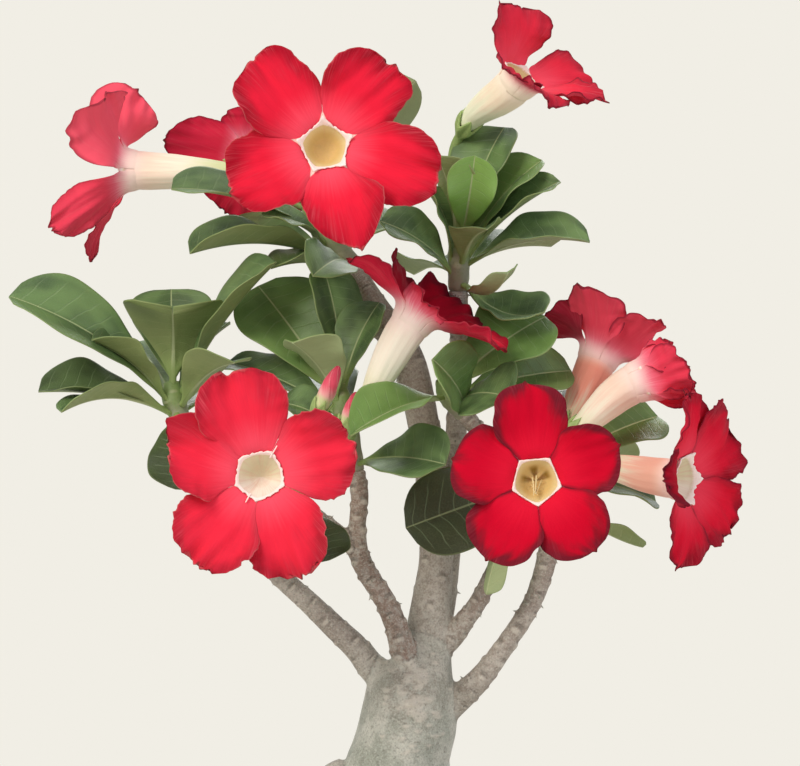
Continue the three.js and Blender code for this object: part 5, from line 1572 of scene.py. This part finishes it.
height, scar, pits = np.zeros((3, len(skin)))
spikes = []
draw = np.random.default_rng(5)
for number, (name, route) in enumerate(routes.items()):
    if name not in SCAR_PITCH:
        continue
    mine = np.flatnonzero(owner == number)
    count = int(route.length() / SCAR_PITCH[name])
    for k in range(2, count):
        at = (k + draw.uniform(-0.25, 0.25)) * SCAR_PITCH[name]
        about = k * GOLDEN + draw.uniform(-0.3, 0.3)
        wide, tall = draw.uniform(1.6, 2.4), draw.uniform(0.75, 1.15)
        near = mine[np.abs(along[mine] - at) < SCAR_REACH]
        x = apart(angle[near], about) * girth[near]
        y = along[near] - at + 0.18 * x ** 2 / wide
        lip = np.exp(-(np.abs(x) / wide) ** 3 - (y / tall) ** 2)
        pit = np.exp(-(np.abs(x) / wide) ** 3 - ((y - 1.5 * tall) / (0.8 * tall)) ** 2)
        depth = SCAR_DEPTH.get(name, USUAL_DEPTH)
        height[near] += depth * lip - 0.6 * depth * pit
        scar[near] = np.maximum(scar[near], lip)
        pits[near] = np.maximum(pits[near], pit)
        if draw.uniform() < STUB_SHARE and at / route.length() > 0.12:
            spikes.append((number, at, about, draw.uniform(0.7, 1.3)))

trunk_top = smooth(128, 165, skin[:, 2])
fork = np.exp(-((skin[:, 0] - 4) / 9) ** 2 - ((skin[:, 2] - 163) / 13) ** 2) * (skin[:, 1] < 0)
for _ in range(FORK_SCARS):
    at = draw.normal([4, 163], [5, 9])
    wide = draw.uniform(1.2, 2.6)
    x = skin[:, 0] - at[0]
    z = skin[:, 2] - at[1] - 0.15 * x ** 2
    lip = np.exp(-(x / wide) ** 2 - (z / 0.9) ** 2) * (skin[:, 1] < 0) * (owner == 0)
    height += 0.45 * lip
    scar = np.maximum(scar, 0.9 * lip)
for _ in range(TRUNK_DENTS):
    z_at, about = draw.uniform(86, 150), draw.uniform(-math.pi, math.pi)
    wide, sunk = draw.uniform(3, 9), draw.uniform(0.15, 0.4)
    off = apart(angle, about) * girth
    dent = np.exp(-(off / wide) ** 2 - ((skin[:, 2] - z_at) / draw.uniform(0.8, 1.8)) ** 2)
    height -= sunk * dent * (owner == 0)
normals = np.empty(len(skin) * 3)
wood.data.vertex_normals.foreach_get("vector", normals)
wood.data.vertices.foreach_set(
    "co", ((skin + normals.reshape(-1, 3) * column(height)) * MM).ravel())
print(len(spikes), "dried stubs to set on", int((scar > 0.5).sum()), "scarred points")

# %% Dried stubs
# A few scars keep the dried foot of their leaf stalk, a short bent thorn-like stub.
# How brown each branch's bark is: young wood's own brown, except on top_left, the leader, where it is
# partly painted shade darkening a branch that lies in shadow.
BROWN_AND_SHADE = {"middle": 1.0, "lower": 1.0, "upright": 0.7, "right": 0.35, "left": 0.1, "top_left": 0.35}
blanks["stub"] = sleeve_blank(5, 4)
names = list(routes)
stubs = []
for number, at, about, size in spikes:
    route = routes[names[number]]
    share = np.array([at / route.length()])
    middle, radius = route.at(share)
    way = route.way(share)
    first, second = across(way)
    out = first * math.cos(about) + second * math.sin(about)
    turn, s = round_and_along("stub")
    bent = middle + out * column(radius[0] - 0.3 + 1.5 * size * s) + way * column(-0.5 * s ** 2)
    thick = 0.42 * size * (1 - s) ** 0.7
    stubs.append(laid("stub", around(bent, way, np.cross(way, out), turn, thick)))

keep(wood, scar=np.clip(scar + 0.3 * fork, 0, 1), pit=pits, along=along,
     youth=np.where(owner == 0, 0.35 * trunk_top, np.clip(0.35 + along / 120, 0, 1)),
     brown=np.array([BROWN_AND_SHADE.get(name, 0.0) for name in names])[owner] + 0.5 * fork)
pick(wood, *stubs)
bpy.ops.object.join()
bpy.ops.object.shade_smooth()
print("wood with stubs:", len(wood.data.polygons), "faces")

# %% Finish of the bark
bark = Finish("bark", IOR=1.4)
spot = bark.place()
youth, scarred, pitted, brown, along = bark.marks("youth scar pit brown along")
patches = bark.noise(spot, 90.0, 3.0)
mottle = bark.noise(spot, 420.0, 4.0, 0.65)
grain = bark.noise(spot, 1500.0, 2.0)
pores = bark.cells(spot, 700.0).rise(0.0, 0.4)
rings = (along * 3.4 + patches.swing(14.0) + mottle.swing(6.0)).wave() * 0.5 + 0.5
rings = rings * youth
old = bark.blend(patches.rise(0.35, 0.68), "#A1A598", "#C7C7BB")
young = bark.blend(patches.rise(0.35, 0.65), "#A1988E", "#BDB6AB")
colour = bark.coats(
    bark.blend(youth.rise(0.15, 0.7), old, young),
    # browner bark: its own colour, and on the leader partly painted shade
    (brown * (mottle - 0.12).rise(0.2, 0.5) * 0.75, "#8C6E5E"),
    (mottle.rise(0.5, 0.72) * 0.4, "#77766A"),
    (grain.rise(0.52, 0.68) * 0.4, "#D6D3C6"),
    ((1 - grain).rise(0.52, 0.68) * 0.35, "#7A7568"),
    (scarred.rise(0.35, 0.9) * 0.6, "#D3CCBE"),
    (rings.rise(0.55, 0.95) * 0.2, "#C6C1B4"),
    (pitted.rise(0.2, 0.8) * 0.45, "#5F5A50"),
    ((1 - pores) * 0.3, "#63605A"))
rough = mottle.swing(0.8) + grain.swing(0.5) + rings.swing(0.2)
bark.relief(0.5 + rough - (1 - pores) * 0.3, 0.6)
wood.data.materials.clear()
finished(wood, "bark", "wood", bark.done(colour, 0.72 + mottle.swing(0.25)))

# %% [markdown]
# ## Pot
#
# The pot is plain thrown clay with a thick rim and four drain holes. A potter raises it from a
# disc, and so does this step: a disc is extruded up and scaled, ring by ring, over the rim and
# down the inside to the floor. The holes are cut with four cylinders and the Boolean modifier,
# and a Bevel modifier then wears the sharp rings down.

# %% Pot
POT_SIDES = 128
POT_PROFILE = [
    (56, 1.5), (59, 18), (62, 36), (65, 54), (68, 72), (73, 73.5), (75, 90), (73.5, 92), (69.5, 92),
    (68, 90), (62.5, 72), (56, 39), (50, 8), (48, 6),
]
POT_FOOT = 54
DRAIN_RADIUS = 4
DRAIN_CIRCLE = 24
DRAIN_COUNT = 4
DRILL_LENGTH = 20
DRILL_HEIGHT = 3
WORN = 0.7

bpy.ops.object.select_all(action="DESELECT")
bpy.ops.mesh.primitive_circle_add(vertices=POT_SIDES, radius=POT_FOOT * MM, fill_type="NGON")
pot = bpy.context.object
pot.name = "pot_thrown"
start_edit()
reached, level = POT_FOOT, 0
for radius, height in POT_PROFILE:
    bpy.ops.mesh.extrude_region_move(TRANSFORM_OT_translate={"value": (0, 0, (height - level) * MM)})
    grow = radius / reached
    bpy.ops.transform.resize(value=(grow, grow, 1), center_override=(0, 0, 0))
    reached, level = radius, height
bpy.ops.mesh.select_all(action="SELECT")
bpy.ops.mesh.normals_make_consistent(inside=False)
end_edit()
for k in range(DRAIN_COUNT):
    about = (k + 0.5) * 2 * math.pi / DRAIN_COUNT
    bpy.ops.object.select_all(action="DESELECT")
    bpy.ops.mesh.primitive_cylinder_add(
        vertices=32, radius=DRAIN_RADIUS * MM, depth=DRILL_LENGTH * MM,
        location=(math.cos(about) * DRAIN_CIRCLE * MM, math.sin(about) * DRAIN_CIRCLE * MM,
                  DRILL_HEIGHT * MM))
    drill = bpy.context.object
    pick(pot)
    modified(pot, "drain", "BOOLEAN", operation="DIFFERENCE", object=drill)
    bpy.data.objects.remove(drill)
modified(pot, "worn edges", "BEVEL", width=WORN * MM, segments=3, limit_method="ANGLE",
         angle_limit=0.35)
bpy.ops.object.shade_smooth_by_angle(angle=0.6)

clay = Finish("clay", IOR=1.45)
spot = clay.place()
x, y, z = clay.parts(spot)
broad = clay.noise(spot, 28.0, 3.0)
grit = clay.noise(spot, 900.0, 3.0)
throwing = clay.noise(clay.point(x * 0.06, y * 0.06, z), 520.0, 2.0)
lime = (clay.noise(spot, 60.0, 4.0) - 0.5 + (z * 9.0 - 0.35) * 0.25).rise(0.06, 0.3)
colour = clay.coats(
    clay.blend(broad.rise(0.3, 0.7), "#A85C3E", "#C07852"),
    (grit.rise(0.55, 0.75) * 0.35, "#D49A72"),
    (throwing.rise(0.5, 0.7) * 0.16, "#8E4A32"),
    (lime * 0.22, "#DCCFBE"))
clay.relief(0.5 + throwing.swing(0.5) + grit.swing(0.4), 0.25)
finished(pot, "pot_clay", "pot", clay.done(colour, 0.82 + grit.swing(0.15)))

# %% [markdown]
# ## Soil
#
# The soil is a gritty mix for succulents: dark crumbs with pale grit on top. Its body is one
# sleeve, laid up the pot's wall, in over the bumpy top and down beside the trunk, where it leaves
# the root its hole. The crumbs are one small ball, dented, copied and sunk half into the top.

# %% Soil
SOIL_BOTTOM = 6.4
SOIL_TOP = 80
SOIL_SHOULDER = 2
SOIL_GAP = 0.4
POT_INSIDE = [(8, 50), (72, 62.5), (90, 68)]
ROOT_DEPTH = 38 - SOIL_GAP
UP_SHARE = 0.3
OVER_SHARE = 0.8
DOWN_SHARE = 0.97
blanks["soil"] = sleeve_blank(112, 54)
angle, s = round_and_along("soil")
trunk_stations = np.array(TRUNK, float)


def inner_wall(height):
    return np.interp(height, *np.array(POT_INSIDE).T) - SOIL_GAP


def root_reach(angle, height):
    radius = np.interp(height, trunk_stations[:, 2], trunk_stations[:, 3])
    return lobed(radius, angle, height) + SOIL_GAP


def soil_top(x, y):
    """Height of the soil's surface above its level."""
    return (0.5 * np.sin(x / 5.3 + 1) * np.sin(y / 4.1) + 0.35 * np.sin(x / 2.1 - y / 2.9)
            + 0.25 * np.sin(x / 1.3 + 2) * np.sin(y / 1.5 + 1))


up = part(0, UP_SHARE, s)
inwards = part(UP_SHARE, OVER_SHARE, s)
down = part(OVER_SHARE, DOWN_SHARE, s)
wall_height = SOIL_BOTTOM + (SOIL_TOP - SOIL_SHOULDER - SOIL_BOTTOM) * up
wall_radius = inner_wall(wall_height) - 3.4 * (1 - smooth(0, 0.12, up))
edge_radius = inner_wall(SOIL_TOP - SOIL_SHOULDER)
top_radius = edge_radius + (root_reach(angle, SOIL_TOP) - edge_radius) * inwards
bumps = soil_top(np.cos(angle) * top_radius, np.sin(angle) * top_radius)
top_height = SOIL_TOP - SOIL_SHOULDER * (1 - smooth(0, 0.12, inwards)) + bumps * smooth(0, 0.1, inwards)
hole_top = SOIL_TOP - 0.5
hole_height = hole_top - (hole_top - ROOT_DEPTH) * down
hole_radius = root_reach(angle, hole_height)
parts = [s <= UP_SHARE, s <= OVER_SHARE, s <= DOWN_SHARE]
radius = np.where(s <= 0, 0, np.select(parts, [wall_radius, top_radius, hole_radius], 0))
height = np.select(parts, [wall_height, top_height, hole_height], ROOT_DEPTH)
soil_body = laid(
    "soil", np.column_stack([np.cos(angle) * radius, np.sin(angle) * radius, height]), grit=0)
print("soil: up to", height.max().round(1), "mm")

# %% Crumbs
CRUMBS = 620
COARSE_EVERY = 9
CRUMBS_FROM = 37.5
CRUMBS_TO = 61
GRIT_SHARE = 0.3
bpy.ops.object.select_all(action="DESELECT")
bpy.ops.mesh.primitive_uv_sphere_add(segments=7, ring_count=5, radius=1)
blanks["crumb"] = bpy.context.object
crumb = points_of(blanks["crumb"])
crumbs = []
draw = np.random.default_rng(3)
for k in range(CRUMBS):
    size = draw.uniform(0.5, 1.7) if k % COARSE_EVERY else draw.uniform(1.6, 2.6)
    reach = math.sqrt(draw.uniform(CRUMBS_FROM ** 2, CRUMBS_TO ** 2))
    about = draw.uniform(0, 2 * math.pi)
    x, y = reach * math.cos(about), reach * math.sin(about)
    if root_reach(about, SOIL_TOP) + size > reach or reach + size > CRUMBS_TO + 0.5:
        continue
    shape = crumb * draw.uniform(0.65, 1.15, 3) * (1 + draw.uniform(-0.14, 0.14, (len(crumb), 1)))
    spun = draw.uniform(0, math.pi)
    turn = np.array([[math.cos(spun), -math.sin(spun), 0], [math.sin(spun), math.cos(spun), 0],
                     [0, 0, 0.8]])
    spot = [x, y, SOIL_TOP + soil_top(x, y) + size * 0.15]
    pale = 1.0 if draw.uniform() < GRIT_SHARE else 0.2
    crumbs.append(laid("crumb", shape @ turn * size + spot, grit=pale))
soil = joined("soil_mix", [soil_body, *crumbs])
print(len(crumbs), "crumbs")

# %% Finish of the soil
earth = Finish("soil", IOR=1.4)
spot = earth.place()
grit = earth.attribute("grit")
lumps = earth.noise(spot, 240.0, 4.0, 0.7)
dust = earth.noise(spot, 1300.0, 2.0)
flecks = earth.cells(spot, 520.0).rise(0.1, 0.3)
colour = earth.coats(
    earth.blend(lumps.rise(0.35, 0.65), "#33261C", "#5A4636"),
    ((1 - flecks) * 0.6, "#8A7A66"),
    (grit.rise(0.1, 0.9), earth.blend(dust, "#8F8474", "#C4B9A6")))
earth.relief(0.5 + lumps.swing(0.9) + dust.swing(0.4), 0.8)
finished(soil, "soil", "soil", earth.done(colour, 0.93 + dust.swing(0.1)))

# %% [markdown]
# ## Leaving the frame
#
# The blanks were only patterns, so they go.

# %% The end
for blank in blanks.values():
    bpy.data.objects.remove(blank)
